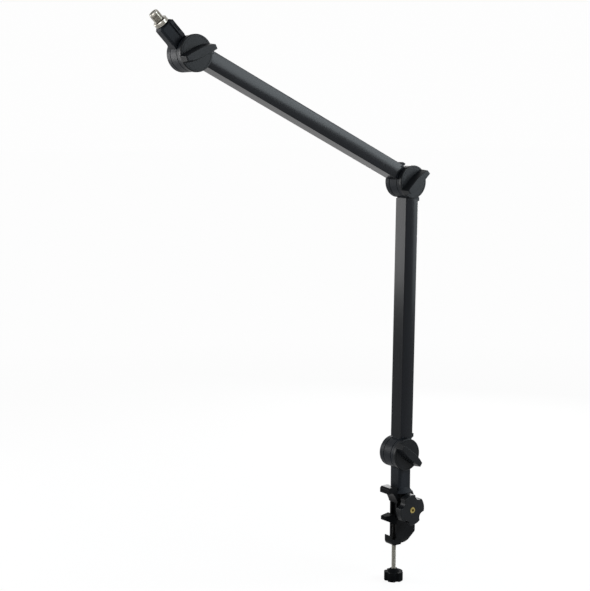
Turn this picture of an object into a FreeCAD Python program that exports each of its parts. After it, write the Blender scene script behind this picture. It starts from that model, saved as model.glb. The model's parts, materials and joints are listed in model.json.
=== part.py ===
"""Microphone boom arm: desk clamp, swivel post, two friction-jointed arms and a thread head.

Millimetres, +Z up. The origin is the middle of the upper jaw's gripping face. The mouth of the
clamp opens towards -X, every tilt axis runs along Y, and the hand knobs are on the -Y side.
"""
import FreeCAD
import Part
import math
import os

from FreeCAD import Rotation, Vector

# Clearances
RUN_GAP = 0.06
THRUST_GAP = 0.05
SLIDE_GAP = 0.15
SWING_GAP = 0.5
OVERRUN = 1.0

# Rest pose
LOWER_LEAN_DEG = 0.9
UPPER_RISE_DEG = 25.1
HEAD_RISE_DEG = 45.0
BASE_WING_DEG = -37.0
ELBOW_WING_DEG = 43.0
HEAD_WING_DEG = 26.0
LOCK_KNOB_DEG = 13.0

# Arm tubes, with the end castings' plugs and screws
ARM_LENGTH = 480.0
TUBE_DEPTH = 26.5
TUBE_WIDTH = 28.0
TUBE_WALL = 1.8
TUBE_CORNER = 4.0
TUBE_OFFSET = 6.0
NECK_LENGTH = 3.5
PLUG_LENGTH = 36.0
SCREW_D = 4.0
SCREW_DEPTH = 9.0
SCREW_HEAD_D = 7.0
SCREW_HEAD_HEIGHT = 2.0
SCREW_HEAD_EDGE = 0.8

# Cable hooks on the end castings
HOOK_WIDTH = 20.0
HOOK_ROOT = 8.0
HOOK_REACH = 2.0
HOOK_GAP = 2.8
HOOK_FINGER = 3.2
HOOK_SETBACK = 9.0

# Knuckles: drum, tongue, friction washers, pivot bolt, nut and cap
DRUM_D = 55.0
DRUM_EDGE = 1.2
TONGUE_THICKNESS = 18.0
FRONT_CHEEK = 6.5
BACK_WEB = 3.0
WASHER_D = 44.0
WASHER_THICKNESS = 1.0
BOLT_D = 8.0
BUSH_WALL = 2.0
NUT_WIDTH = 13.0
NUT_THICKNESS = 5.5
BOLT_TAIL = 0.8
CAP_D = 34.0
CAP_THICKNESS = 2.0
CAP_CROWN = 0.9

# Wing knobs
WING_DISC = 6.3
WING_LENGTH = 57.5
WING_HEIGHT = 14.5
WING_ROOT_WIDTH = 20.0
WING_TIP_WIDTH = 10.5
WING_SWEEP = -2.5
WING_CREST_SHARE = 0.5
WING_CREST_LENGTH_SHARE = 0.93
WING_EDGE = 0.9
BOLT_SEAT = 14.0

# Swivel post
POST_HEIGHT = 71.8
POST_OFFSET = 4.4
POST_SIDE = 27.5
POST_CORNER = 5.0
POST_FLANGE_D = 41.0
POST_FLARE = 8.0
POST_RIM = 1.6
SPIGOT_D = 13.0
SPIGOT_DEPTH = 44.0
SPIGOT_SEAT = 26.0
SOCKET_BUSH_WALL = 1.5
SOCKET_FLOOR = 2.0
SOCKET_WALL = 7.5
SOCKET_BASE = 4.0
SOCKET_DROP = 1.5

# Clamp frame
PAD_LENGTH = 8.0
PAD_WIDTH = 20.0
PAD_THICKNESS = 2.5
PAD_PROUD = 0.5
MOUTH_RUN = 11.0
MOUTH_FALL = 19.0
MOUTH_SAG = 1.5
LIP_THICKNESS = 2.3
JAW_HEIGHT = 11.5
JAW_ROOT_HEIGHT = 3.0
JAW_WIDTH = 24.0
JAW_SHOULDER = 5.0
JAW_TIP_CHAMFER = 3.0
STEP_GAP = 0.7
SPINE_SETBACK = 16.0
SPINE_DEPTH = 44.7
SPINE_WIDTH = 19.0
SPINE_EDGE = 1.5
SHOULDER_RUN = 8.0
SHOULDER_FALL = 18.0
FRAME_DROP = 96.3
HEEL_RUN = 12.5
HEEL_FALL = 18.0
HEEL_TOE_RUN = 7.5
HEEL_TOE_FALL = 2.8
FACET_START = 8.5
FACET_HEIGHT = 10.0
FACET_RISE = 9.0
FACET_DEPTH = 4.5
SLOT_WIDTH = 11.0
SLOT_WALL = 1.2
SLOT_HEAD = 0.5
FOOT_WALL = 10.0
HOOK_JAW_REACH = 11.5
HOOK_JAW_LIP = 8.0
HOOK_JAW_TIP = 2.0
HOOK_JAW_RADIUS = 9.0

# Clamp screw, its bush and knob
CLAMP_SCREW_D = 8.0
CLAMP_SCREW_COVER = 0.4
SCREW_BUSH_WALL = 2.0
SCREW_SEAT = 10.0
CLAMP_KNOB_D = 34.0
CLAMP_KNOB_LOBES = 5
CLAMP_KNOB_HEIGHT = 16.0
CLAMP_KNOB_NOTCH_SHARE = 0.83
CLAMP_KNOB_LOBE_SHARE = 0.68
CLAMP_KNOB_ROUND = 1.6
CLAMP_COLLAR_D = 13.0
CLAMP_COLLAR_FOOT_D = 21.0
CLAMP_COLLAR_HEIGHT = 5.5
CLAMP_COLLAR_DROP = 45.0
CLAMP_SCREW_TAIL = 11.0

# Sliding jaw
MOUTH_OPENING = 39.2
NOSE_REACH = 23.5
NOSE_WIDTH = 20.0
NOSE_HEIGHT = 18.0
NOSE_TIP_HEIGHT = 7.0
NOSE_TIP_WIDTH = 13.0
NOSE_TOP_FALL = 1.5
NOSE_FLANGE = 3.5
TENON_DROP = 5.0

# Lock knob
LOCK_DROP = 28.7
LOCK_BOSS_D = 22.0
LOCK_BOSS_PROUD = 1.8
LOCK_KNOB_D = 55.0
LOCK_KNOB_LOBES = 4
LOCK_KNOB_THICKNESS = 13.5
LOCK_KNOB_NOTCH_SHARE = 0.77
LOCK_KNOB_LOBE_SHARE = 0.6
LOCK_KNOB_ROUND = 2.2
LOCK_HUB_D = 24.0
LOCK_HUB_HEIGHT = 3.0
LOCK_SEAT_GAP = 0.3
LOCK_STUD_D = 8.0
LOCK_INSERT_D = 11.0
LOCK_INSERT_DEPTH = 9.0
LOCK_INSERT_PROUD = 0.5
LOCK_INSERT_DIMPLE_D = 3.5
LOCK_INSERT_DIMPLE = 1.2

# Head block and microphone thread
HEAD_LENGTH = 62.5
HEAD_DEPTH = 26.5
HEAD_WIDTH = 20.0
HEAD_OFFSET = -2.5
HEAD_CORNER = 4.0
HEAD_END_EDGE = 3.5
HEAD_SLOT_LENGTH = 13.0
HEAD_SLOT_WIDTH = 2.4
HEAD_SLOT_DEPTH = 1.4
HEAD_SLOT_INSET = 4.0
HEAD_SLOT_START = 6.0
STUD_D = 9.525
STUD_SEAT = 14.0
THREAD_D = 15.875
THREAD_LENGTH = 15.5
THREAD_FLANGE_D = 23.0
THREAD_FLANGE = 7.0
THREAD_CHAMFER = 1.0

# Places worked out from the sizes above
DRUM_R = DRUM_D / 2
BOLT_R = BOLT_D / 2
BORE_R = BOLT_R + RUN_GAP
TONGUE_HALF = TONGUE_THICKNESS / 2
WASHER_IN = TONGUE_HALF + THRUST_GAP
SLOT_HALF = WASHER_IN + WASHER_THICKNESS
FORK_FRONT = -(SLOT_HALF + FRONT_CHEEK)
NUT_IN = SLOT_HALF + BACK_WEB
NUT_OUT = NUT_IN + NUT_THICKNESS
CAP_IN = NUT_OUT + BOLT_TAIL
FORK_BACK = CAP_IN + CAP_THICKNESS
WING_BACK = FORK_FRONT - THRUST_GAP
WING_FACE = WING_BACK - WING_DISC
SWING_R = DRUM_R + SWING_GAP
TUBE_START = SWING_R + NECK_LENGTH
SPINE_FACE = PAD_LENGTH / 2 + MOUTH_RUN
POST_FLANGE_R = POST_FLANGE_D / 2
SWIVEL_X = SPINE_FACE + SPINE_SETBACK
SPINE_BACK = SPINE_FACE + SPINE_DEPTH
SLOT_TOP = MOUTH_FALL + SLOT_HEAD
JAW_TIP = -PAD_LENGTH / 2 - LIP_THICKNESS
FOOT_TOP = FOOT_WALL - FRAME_DROP
NOSE_BASE = -MOUTH_OPENING - NOSE_HEIGHT
SPIGOT_R = SPIGOT_D / 2
SOCKET_BORE_R = SPIGOT_R + RUN_GAP
SOCKET_BUSH_R = SOCKET_BORE_R + SOCKET_BUSH_WALL
SOCKET_R = SOCKET_BUSH_R + SOCKET_WALL
SLOT_END = SWIVEL_X - SOCKET_BUSH_R - SLOT_WALL
TENON_END = SLOT_END - SLIDE_GAP
CLAMP_SCREW_X = TENON_END - CLAMP_SCREW_COVER - RUN_GAP - CLAMP_SCREW_D / 2
SOCKET_TOP = -SOCKET_DROP
SPIGOT_END = SOCKET_TOP - SPIGOT_DEPTH
SOCKET_END = SPIGOT_END - SOCKET_FLOOR
LOCK_BOSS_FACE = -SOCKET_R - LOCK_BOSS_PROUD
LOCK_KNOB_BACK = LOCK_BOSS_FACE - LOCK_SEAT_GAP
LOCK_KNOB_FACE = LOCK_KNOB_BACK - LOCK_HUB_HEIGHT - LOCK_KNOB_THICKNESS

BASE_PIVOT = Vector(SWIVEL_X - POST_OFFSET, 0.0, SOCKET_TOP + POST_HEIGHT)
LOWER_TURN = LOWER_LEAN_DEG
UPPER_TURN = UPPER_RISE_DEG - 90.0
HEAD_TURN = HEAD_RISE_DEG - 90.0


def turned(degrees):
    """Rotation about +Y, which leans +Z towards +X when positive."""
    return Rotation(Vector(0, 1, 0), degrees)


ELBOW_PIVOT = BASE_PIVOT + turned(LOWER_TURN).multVec(Vector(0, 0, ARM_LENGTH))
HEAD_PIVOT = ELBOW_PIVOT + turned(UPPER_TURN).multVec(Vector(0, 0, ARM_LENGTH))


def at(shape, pivot, degrees):
    """Copy of a shape drawn round a pivot at the origin, turned about Y and moved to the pivot."""
    placed = shape.copy()
    placed.Placement = FreeCAD.Placement(pivot, turned(degrees)).multiply(placed.Placement)
    return placed


def box(x_low, x_high, y_low, y_high, z_low, z_high):
    """Box between two corners."""
    size = (x_high - x_low, y_high - y_low, z_high - z_low)
    return Part.makeBox(*size, Vector(x_low, y_low, z_low))


def rod_y(radius, y_low, y_high, x=0.0, z=0.0):
    """Cylinder along Y."""
    return Part.makeCylinder(radius, y_high - y_low, Vector(x, y_low, z), Vector(0, 1, 0))


def rod_z(radius, z_low, z_high, x=0.0, y=0.0):
    """Cylinder along Z."""
    return Part.makeCylinder(radius, z_high - z_low, Vector(x, y, z_low), Vector(0, 0, 1))


def rounded(shape, radius, picked):
    """Shape with the edges that the test picks rounded off."""
    edges = [edge for edge in shape.Edges if picked(edge)]
    return shape.makeFillet(radius, edges)


def runs_along(axis):
    """Test for straight edges parallel to an axis."""
    def picked(edge):
        if not isinstance(edge.Curve, Part.Line):
            return False
        return abs(edge.Curve.Direction.dot(axis)) > 0.999
    return picked


def is_rim(edge):
    """Test for full circular edges."""
    return isinstance(edge.Curve, Part.Circle) and edge.isClosed()


def end_rims(shape, axis):
    """Full circular edges on the far half of a shape, looking along an axis."""
    middle = shape.BoundBox.Center.dot(axis)
    return [edge for edge in shape.Edges if is_rim(edge) and edge.CenterOfMass.dot(axis) > middle]


def bar(depth, width, corner, z_low, z_high, offset):
    """Rounded rectangular bar along Z, moved along X by the offset."""
    block = box(offset - depth / 2, offset + depth / 2, -width / 2, width / 2, z_low, z_high)
    return rounded(block, corner, runs_along(Vector(0, 0, 1)))


def slab(wire, y_low, y_high):
    """Solid between two Y planes from a closed wire drawn in the XZ plane."""
    wire = wire.copy()
    wire.translate(Vector(0, y_low, 0))
    return Part.Face(wire).extrude(Vector(0, y_high - y_low, 0))


def flat(x, z):
    """Point of the XZ plane."""
    return Vector(x, 0.0, z)


def line(start, end):
    """Straight edge."""
    return Part.LineSegment(start, end).toShape()


def arc(start, middle, end):
    """Arc edge through three points."""
    return Part.Arc(start, middle, end).toShape()


def polygon(points):
    """Closed wire of straight edges."""
    return Part.makePolygon(points + points[:1])


def hexagon(width, y_low, y_high):
    """Hexagonal bar along Y, given across its flats."""
    corner = width / math.sqrt(3.0)
    turns = [math.radians(60.0 * step) for step in range(6)]
    return slab(polygon([flat(corner * math.cos(a), corner * math.sin(a)) for a in turns]), y_low, y_high)


def ring_y(outer_r, inner_r, y_low, y_high):
    """Washer or sleeve along Y."""
    return rod_y(outer_r, y_low, y_high).cut(rod_y(inner_r, y_low - OVERRUN, y_high + OVERRUN))


def ring_z(outer_r, inner_r, z_low, z_high, x=0.0):
    """Washer or sleeve along Z."""
    return rod_z(outer_r, z_low, z_high, x).cut(rod_z(inner_r, z_low - OVERRUN, z_high + OVERRUN, x))


def drum(y_low, y_high):
    """Knuckle drum with bevelled rims."""
    plain = rod_y(DRUM_R, y_low, y_high)
    return plain.makeChamfer(DRUM_EDGE, [edge for edge in plain.Edges if is_rim(edge)])


def tube_bar(z_low, z_high):
    """Bar of the tube's outer section."""
    return bar(TUBE_DEPTH, TUBE_WIDTH, TUBE_CORNER, z_low, z_high, TUBE_OFFSET)


def plug_bar(z_low, z_high):
    """Bar of the tube's inner section."""
    depth = TUBE_DEPTH - 2 * TUBE_WALL
    width = TUBE_WIDTH - 2 * TUBE_WALL
    return bar(depth, width, TUBE_CORNER - TUBE_WALL, z_low, z_high, TUBE_OFFSET)


def fork_of(neck):
    """Fork: a drum on a neck, slotted for the tongue and bored for bolt, nut and cap."""
    body = drum(FORK_FRONT, FORK_BACK).fuse(neck)
    body = body.cut(rod_y(SWING_R, -SLOT_HALF, SLOT_HALF))
    body = body.cut(rod_y(BORE_R, FORK_FRONT - OVERRUN, NUT_IN + OVERRUN))
    body = body.cut(hexagon(NUT_WIDTH, NUT_IN, CAP_IN + OVERRUN))
    body = body.cut(rod_y(CAP_D / 2, CAP_IN, FORK_BACK + OVERRUN))
    return body.removeSplitter()


def tongue_of(neck, web_depth, web_offset, neck_length):
    """Tongue: a disc between the cheeks, with a neck that clears them, bored for the bush."""
    web_low = web_offset - web_depth / 2
    web = box(web_low, web_low + web_depth, -TONGUE_HALF, TONGUE_HALF, 0.0, neck_length)
    body = neck.cut(rod_y(SWING_R, -DRUM_D, DRUM_D)).fuse(web)
    body = body.fuse(rod_y(DRUM_R, -TONGUE_HALF, TONGUE_HALF))
    body = body.cut(rod_y(BORE_R + BUSH_WALL, -TONGUE_HALF - OVERRUN, TONGUE_HALF + OVERRUN))
    return body.removeSplitter()


def screw_place(end_z, inwards):
    """Height of a tube screw, half way along the plug that it holds."""
    return end_z + inwards * PLUG_LENGTH / 2


def screw_hole(z):
    """Cutter for a tube screw's shank in the plug on the back of the arm."""
    seat = TUBE_WIDTH / 2
    return rod_y(SCREW_D / 2, seat - SCREW_DEPTH, seat + OVERRUN, TUBE_OFFSET, z)


def tube_screw(z):
    """Screw through the back wall of the tube into the plug."""
    seat = TUBE_WIDTH / 2
    shank = rod_y(SCREW_D / 2, seat - SCREW_DEPTH, seat, TUBE_OFFSET, z)
    head = rod_y(SCREW_HEAD_D / 2, seat, seat + SCREW_HEAD_HEIGHT, TUBE_OFFSET, z)
    head = head.makeChamfer(SCREW_HEAD_EDGE, end_rims(head, Vector(0, 1, 0)))
    return head.fuse(shank).removeSplitter()


def cable_hook(way):
    """Cable hook on the outer face of a neck, drawn round the end of its root.

    The finger points along the arm, up it where the way is +1 and down it where the way is -1.
    """
    face = TUBE_OFFSET + TUBE_DEPTH / 2
    top = face + HOOK_GAP + HOOK_FINGER
    tip = way * HOOK_REACH
    root = -way * HOOK_ROOT
    heel = face - TUBE_WALL
    points = [flat(heel, root), flat(face, root), flat(top, root / 2), flat(top, tip)]
    points += [flat(face + HOOK_GAP, tip), flat(face + HOOK_GAP, 0.0), flat(heel, 0.0)]
    return slab(polygon(points), -HOOK_WIDTH / 2, HOOK_WIDTH / 2)


def arm_foot(hook_way):
    """Casting at the lower end of an arm: tongue, neck, cable hook and plug."""
    body = tongue_of(tube_bar(0.0, TUBE_START), TUBE_DEPTH, TUBE_OFFSET, TUBE_START)
    hook = cable_hook(hook_way)
    hook_z = TUBE_START if hook_way > 0 else TUBE_START - HOOK_SETBACK
    hook.translate(Vector(0, 0, hook_z))
    plug = plug_bar(TUBE_START - NECK_LENGTH / 2, TUBE_START + PLUG_LENGTH)
    body = body.fuse([hook, plug])
    return body.cut(screw_hole(screw_place(TUBE_START, 1))).removeSplitter()


def arm_fork(has_hook):
    """Casting at the upper end of an arm, drawn round the arm's upper pivot."""
    body = fork_of(tube_bar(-TUBE_START, 0.0))
    plug = plug_bar(-TUBE_START - PLUG_LENGTH, -TUBE_START + NECK_LENGTH / 2)
    body = body.fuse(plug)
    if has_hook:
        hook = cable_hook(-1)
        hook.translate(Vector(0, 0, -TUBE_START))
        body = body.fuse(hook)
    return body.cut(screw_hole(screw_place(-TUBE_START, -1))).removeSplitter()


def arm_tube():
    """Tube of one arm, from one neck to the other, with a hole for each screw."""
    low = TUBE_START
    high = ARM_LENGTH - TUBE_START
    tube = tube_bar(low, high).cut(plug_bar(low - OVERRUN, high + OVERRUN))
    for z in (screw_place(low, 1), screw_place(high, -1)):
        tube = tube.cut(screw_hole(z))
    return tube


def wing_outline(length, root_width, tip_width, sweep, y):
    """Closed outline of the wing across the knob's axis, the same after half a turn."""
    half = length / 2
    tip = tip_width / 2
    root = root_width / 2
    upper = [Vector(-half, y, tip - sweep), Vector(0, y, root), Vector(half, y, tip + sweep)]
    lower = [Vector(half, y, sweep - tip), Vector(0, y, -root), Vector(-half, y, -tip - sweep)]
    edges = [arc(*upper), line(upper[2], lower[0]), arc(*lower), line(lower[2], upper[0])]
    return Part.Wire(edges)


def wing_knob():
    """Disc that covers the drum's front, with a swept wing that narrows to its crest."""
    disc = drum(WING_FACE, WING_BACK)
    crest_y = WING_FACE - WING_HEIGHT
    foot = wing_outline(WING_LENGTH, WING_ROOT_WIDTH, WING_TIP_WIDTH, WING_SWEEP, WING_FACE + DRUM_EDGE)
    crest_length = WING_LENGTH * WING_CREST_LENGTH_SHARE
    crest_root = WING_ROOT_WIDTH * WING_CREST_SHARE
    crest_tip = WING_TIP_WIDTH * WING_CREST_SHARE
    crest = wing_outline(crest_length, crest_root, crest_tip, WING_SWEEP, crest_y)
    wing = Part.makeLoft([foot, crest], True, True)
    crest_edges = [edge for edge in wing.Edges if edge.BoundBox.YMax < crest_y + THRUST_GAP]
    wing = wing.makeChamfer(WING_EDGE, crest_edges)
    seat = rod_y(BOLT_R, WING_BACK - BOLT_SEAT, WING_BACK + OVERRUN)
    return disc.fuse(wing).cut(seat).removeSplitter()


def add_knuckle(nodes, name, pivot, fork_turn, wing_degrees):
    """Add the pieces that every tilting joint shares: knob, bolt, nut, cap and washers."""
    wing_turn = -wing_degrees
    nodes[f"{name}_wing_knob"] = at(wing_knob(), pivot, wing_turn)
    bolt = rod_y(BOLT_R, WING_BACK - BOLT_SEAT, NUT_OUT)
    nodes[f"{name}_bolt"] = at(bolt, pivot, wing_turn)
    nut = hexagon(NUT_WIDTH, NUT_IN, NUT_OUT).cut(rod_y(BORE_R, NUT_IN - OVERRUN, NUT_OUT + OVERRUN))
    nodes[f"{name}_nut"] = at(nut, pivot, fork_turn)
    cap = rod_y(CAP_D / 2, CAP_IN, FORK_BACK + CAP_CROWN)
    cap = cap.makeChamfer(CAP_CROWN, end_rims(cap, Vector(0, 1, 0)))
    nodes[f"{name}_cap"] = at(cap, pivot, fork_turn)
    back = ring_y(WASHER_D / 2, BORE_R, WASHER_IN, SLOT_HALF)
    front = ring_y(WASHER_D / 2, BORE_R, -SLOT_HALF, -WASHER_IN)
    nodes[f"{name}_washer_back"] = at(back, pivot, fork_turn)
    nodes[f"{name}_washer_front"] = at(front, pivot, fork_turn)


def pivot_bush():
    """Sleeve pressed into a tongue, running on the pivot bolt."""
    return ring_y(BORE_R + BUSH_WALL, BORE_R, -TONGUE_HALF, TONGUE_HALF)


def lobed_wire(diameter, lobes, notch_share, lobe_share, start_deg):
    """Outline of a lobed knob in the XZ plane: outer arcs joined by hollows."""
    radius = diameter / 2
    pitch = 2 * math.pi / lobes
    half = pitch * lobe_share / 2
    edges = []
    for lobe in range(lobes):
        middle = math.radians(start_deg) + lobe * pitch
        rim = [middle - half, middle, middle + half]
        outer = [flat(radius * math.cos(a), radius * math.sin(a)) for a in rim]
        hollow = middle + pitch / 2
        valley = flat(radius * notch_share * math.cos(hollow), radius * notch_share * math.sin(hollow))
        following = middle + pitch - half
        next_start = flat(radius * math.cos(following), radius * math.sin(following))
        edges += [arc(*outer), arc(outer[2], valley, next_start)]
    return Part.Wire(edges)


def clamp_frame():
    """Cast clamp frame: wide upper jaw, slotted spine, lower hook and the post's socket."""
    half = SPINE_WIDTH / 2
    diagonal = math.sqrt(0.5)
    heel_top = flat(SPINE_BACK, -FRAME_DROP + HEEL_TOE_FALL + HEEL_FALL)
    heel_low = flat(SPINE_BACK - HEEL_RUN, -FRAME_DROP + HEEL_TOE_FALL)
    heel_end = flat(SPINE_BACK - HEEL_RUN - HEEL_TOE_RUN, -FRAME_DROP)
    toe = SPINE_FACE - HOOK_JAW_REACH
    bend = HOOK_JAW_RADIUS
    toe_middle = flat(toe + bend - bend * diagonal, -FRAME_DROP + bend - bend * diagonal)
    lip_top = FOOT_TOP + HOOK_JAW_LIP
    hollow = (SPINE_FACE + toe + HOOK_JAW_TIP) / 2
    shoulder = SOCKET_TOP - SHOULDER_FALL
    edges = [
        line(flat(SPINE_FACE, SOCKET_TOP), flat(SPINE_BACK - SHOULDER_RUN, SOCKET_TOP)),
        line(flat(SPINE_BACK - SHOULDER_RUN, SOCKET_TOP), flat(SPINE_BACK, shoulder)),
        line(flat(SPINE_BACK, shoulder), heel_top),
        line(heel_top, heel_low),
        line(heel_low, heel_end),
        line(heel_end, flat(toe + bend, -FRAME_DROP)),
        arc(flat(toe + bend, -FRAME_DROP), toe_middle, flat(toe, -FRAME_DROP + bend)),
        line(flat(toe, -FRAME_DROP + bend), flat(toe, lip_top)),
        line(flat(toe, lip_top), flat(toe + HOOK_JAW_TIP, lip_top)),
        arc(flat(toe + HOOK_JAW_TIP, lip_top), flat(hollow, FOOT_TOP), flat(SPINE_FACE, FOOT_TOP + HOOK_JAW_TIP)),
        line(flat(SPINE_FACE, FOOT_TOP + HOOK_JAW_TIP), flat(SPINE_FACE, SOCKET_TOP)),
    ]
    spine = slab(Part.Wire(edges), -half, half)
    back_edges = [edge for edge in spine.Edges if edge.BoundBox.XMin > SPINE_BACK - THRUST_GAP]
    upright = [edge for edge in back_edges if runs_along(Vector(0, 0, 1))(edge)]
    spine = spine.makeChamfer(SPINE_EDGE, upright)
    facet = foot_facet()
    spine = spine.cut(facet).cut(facet.mirror(Vector(0, 0, 0), Vector(0, 1, 0)))
    socket = rod_z(SOCKET_R, SOCKET_END - SOCKET_BASE, SOCKET_TOP, SWIVEL_X)
    lock_boss = rod_y(LOCK_BOSS_D / 2, LOCK_BOSS_FACE, 0.0, SWIVEL_X, -LOCK_DROP)
    body = spine.fuse([upper_jaw(), socket, lock_boss])
    slot_half = SLOT_WIDTH / 2
    body = body.cut(box(SPINE_FACE - OVERRUN, SLOT_END, -slot_half, slot_half, FOOT_TOP, -SLOT_TOP))
    body = body.cut(rod_z(SOCKET_BUSH_R, SOCKET_END, SOCKET_TOP + OVERRUN, SWIVEL_X))
    screw_bush_r = CLAMP_SCREW_D / 2 + RUN_GAP + SCREW_BUSH_WALL
    body = body.cut(rod_z(screw_bush_r, -FRAME_DROP - OVERRUN, lip_top, CLAMP_SCREW_X))
    stud_bore = rod_y(LOCK_STUD_D / 2 + RUN_GAP, LOCK_BOSS_FACE - OVERRUN, 0.0, SWIVEL_X, -LOCK_DROP)
    return body.cut(stud_bore).removeSplitter()


def foot_facet():
    """Wedge that slopes the front face in under the frame's foot, from the screw's housing to the heel."""
    start = CLAMP_SCREW_X + FACET_START
    top = FACET_HEIGHT - FRAME_DROP
    front = -SPINE_WIDTH / 2
    near = Vector(start, front, top)
    far = Vector(SPINE_BACK + OVERRUN, front, top + FACET_RISE)
    slope = Vector(0, FACET_DEPTH, -FACET_HEIGHT)
    reach = slope * ((FACET_HEIGHT + OVERRUN) / FACET_HEIGHT)
    outward = slope.cross(far - near).normalize()
    if outward.y > 0:
        outward = -outward
    low_far = far + reach * ((FACET_HEIGHT + FACET_RISE) / FACET_HEIGHT)
    face = Part.Face(polygon([near, far, low_far, near + reach]))
    return face.extrude(outward * SPINE_WIDTH)


def upper_jaw():
    """Upper jaw in side view: lip, pad recess and hollow root, with a round relief for the post."""
    pad_end = PAD_LENGTH / 2
    root = SPINE_FACE + JAW_SHOULDER
    slant = math.hypot(MOUTH_RUN, MOUTH_FALL)
    hollow_x = pad_end + MOUTH_RUN / 2 + MOUTH_SAG * MOUTH_FALL / slant
    hollow_z = -MOUTH_FALL / 2 + MOUTH_SAG * MOUTH_RUN / slant
    recess = PAD_THICKNESS
    edges = [
        line(flat(JAW_TIP, PAD_PROUD), flat(JAW_TIP, JAW_HEIGHT - JAW_TIP_CHAMFER)),
        line(flat(JAW_TIP, JAW_HEIGHT - JAW_TIP_CHAMFER), flat(JAW_TIP + JAW_TIP_CHAMFER, JAW_HEIGHT)),
        line(flat(JAW_TIP + JAW_TIP_CHAMFER, JAW_HEIGHT), flat(root, JAW_ROOT_HEIGHT)),
        line(flat(root, JAW_ROOT_HEIGHT), flat(root, -MOUTH_FALL)),
        line(flat(root, -MOUTH_FALL), flat(SPINE_FACE, -MOUTH_FALL)),
        arc(flat(SPINE_FACE, -MOUTH_FALL), flat(hollow_x, hollow_z), flat(pad_end, 0.0)),
        line(flat(pad_end, 0.0), flat(pad_end, recess)),
        line(flat(pad_end, recess), flat(-pad_end, recess)),
        line(flat(-pad_end, recess), flat(-pad_end, PAD_PROUD)),
        line(flat(-pad_end, PAD_PROUD), flat(JAW_TIP, PAD_PROUD)),
    ]
    jaw = slab(Part.Wire(edges), -JAW_WIDTH / 2, JAW_WIDTH / 2)
    return jaw.cut(rod_z(POST_FLANGE_R + STEP_GAP, SOCKET_TOP, JAW_HEIGHT + OVERRUN, SWIVEL_X))


def slide_jaw():
    """Jaw that runs in the spine's slot: tapered nose, flange on the spine's face and a tenon."""
    top = -MOUTH_OPENING
    face = SPINE_FACE - SLIDE_GAP
    tip = face - NOSE_REACH
    shoulder = face - NOSE_FLANGE
    tip_top = top - NOSE_TOP_FALL
    side = polygon([flat(tip, tip_top), flat(shoulder, top), flat(shoulder, NOSE_BASE), flat(tip, tip_top - NOSE_TIP_HEIGHT)])
    nose = slab(side, -NOSE_WIDTH / 2, NOSE_WIDTH / 2)
    taper = (NOSE_WIDTH - NOSE_TIP_WIDTH) / 2
    for sign in (-1, 1):
        edge = sign * NOSE_WIDTH / 2
        corner = [Vector(tip, edge, NOSE_BASE), Vector(shoulder, edge, NOSE_BASE)]
        corner += [Vector(tip, edge - sign * taper, NOSE_BASE)]
        wedge = Part.Face(polygon(corner)).extrude(Vector(0, 0, NOSE_HEIGHT))
        nose = nose.cut(wedge)
    slide_top = top - TENON_DROP
    flange = box(shoulder, face, -NOSE_WIDTH / 2, NOSE_WIDTH / 2, NOSE_BASE, slide_top)
    tenon_half = SLOT_WIDTH / 2 - SLIDE_GAP
    tenon = box(face, TENON_END, -tenon_half, tenon_half, NOSE_BASE, slide_top)
    bore_top = NOSE_BASE + SCREW_SEAT
    bore = rod_z(CLAMP_SCREW_D / 2 + RUN_GAP, NOSE_BASE - OVERRUN, bore_top + THRUST_GAP, CLAMP_SCREW_X)
    return nose.fuse([flange, tenon]).cut(bore).removeSplitter()


def add_clamp(nodes):
    """Add the clamp: frame, pad, bushes, sliding jaw, screw and knob."""
    nodes["clamp_frame"] = clamp_frame()
    pad_half = PAD_LENGTH / 2
    nodes["jaw_pad"] = box(-pad_half, pad_half, -PAD_WIDTH / 2, PAD_WIDTH / 2, 0.0, PAD_THICKNESS)
    bush = ring_z(SOCKET_BUSH_R, SOCKET_BORE_R, SOCKET_END, SOCKET_TOP, SWIVEL_X)
    stud_bore = rod_y(LOCK_STUD_D / 2 + RUN_GAP, LOCK_BOSS_FACE, 0.0, SWIVEL_X, -LOCK_DROP)
    nodes["socket_bush"] = bush.cut(stud_bore)
    screw_r = CLAMP_SCREW_D / 2
    inner_r = screw_r + RUN_GAP
    nodes["screw_bush"] = ring_z(inner_r + SCREW_BUSH_WALL, inner_r, -FRAME_DROP, FOOT_TOP, CLAMP_SCREW_X)
    nodes["slide_jaw"] = slide_jaw()
    collar_top = -FRAME_DROP - CLAMP_COLLAR_DROP
    knob_top = collar_top - CLAMP_COLLAR_HEIGHT
    screw_end = knob_top - CLAMP_SCREW_TAIL
    nodes["clamp_screw"] = rod_z(screw_r, screw_end, NOSE_BASE + SCREW_SEAT, CLAMP_SCREW_X)
    nodes["clamp_knob"] = clamp_knob(collar_top, knob_top, screw_end)


def clamp_knob(collar_top, knob_top, screw_end):
    """Lobed knob at the foot of the clamp screw, with a conical collar."""
    outline = lobed_wire(CLAMP_KNOB_D, CLAMP_KNOB_LOBES, CLAMP_KNOB_NOTCH_SHARE, CLAMP_KNOB_LOBE_SHARE, 0.0)
    body = rounded(slab(outline, -CLAMP_KNOB_HEIGHT, 0.0), CLAMP_KNOB_ROUND, runs_along(Vector(0, 1, 0)))
    body.rotate(Vector(0, 0, 0), Vector(1, 0, 0), 90.0)
    body.translate(Vector(CLAMP_SCREW_X, 0.0, knob_top))
    collar = Part.makeCone(CLAMP_COLLAR_FOOT_D / 2, CLAMP_COLLAR_D / 2, CLAMP_COLLAR_HEIGHT)
    collar.translate(Vector(CLAMP_SCREW_X, 0.0, knob_top))
    seat = rod_z(CLAMP_SCREW_D / 2, screw_end, collar_top + OVERRUN, CLAMP_SCREW_X)
    return body.fuse(collar).cut(seat).removeSplitter()


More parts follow.
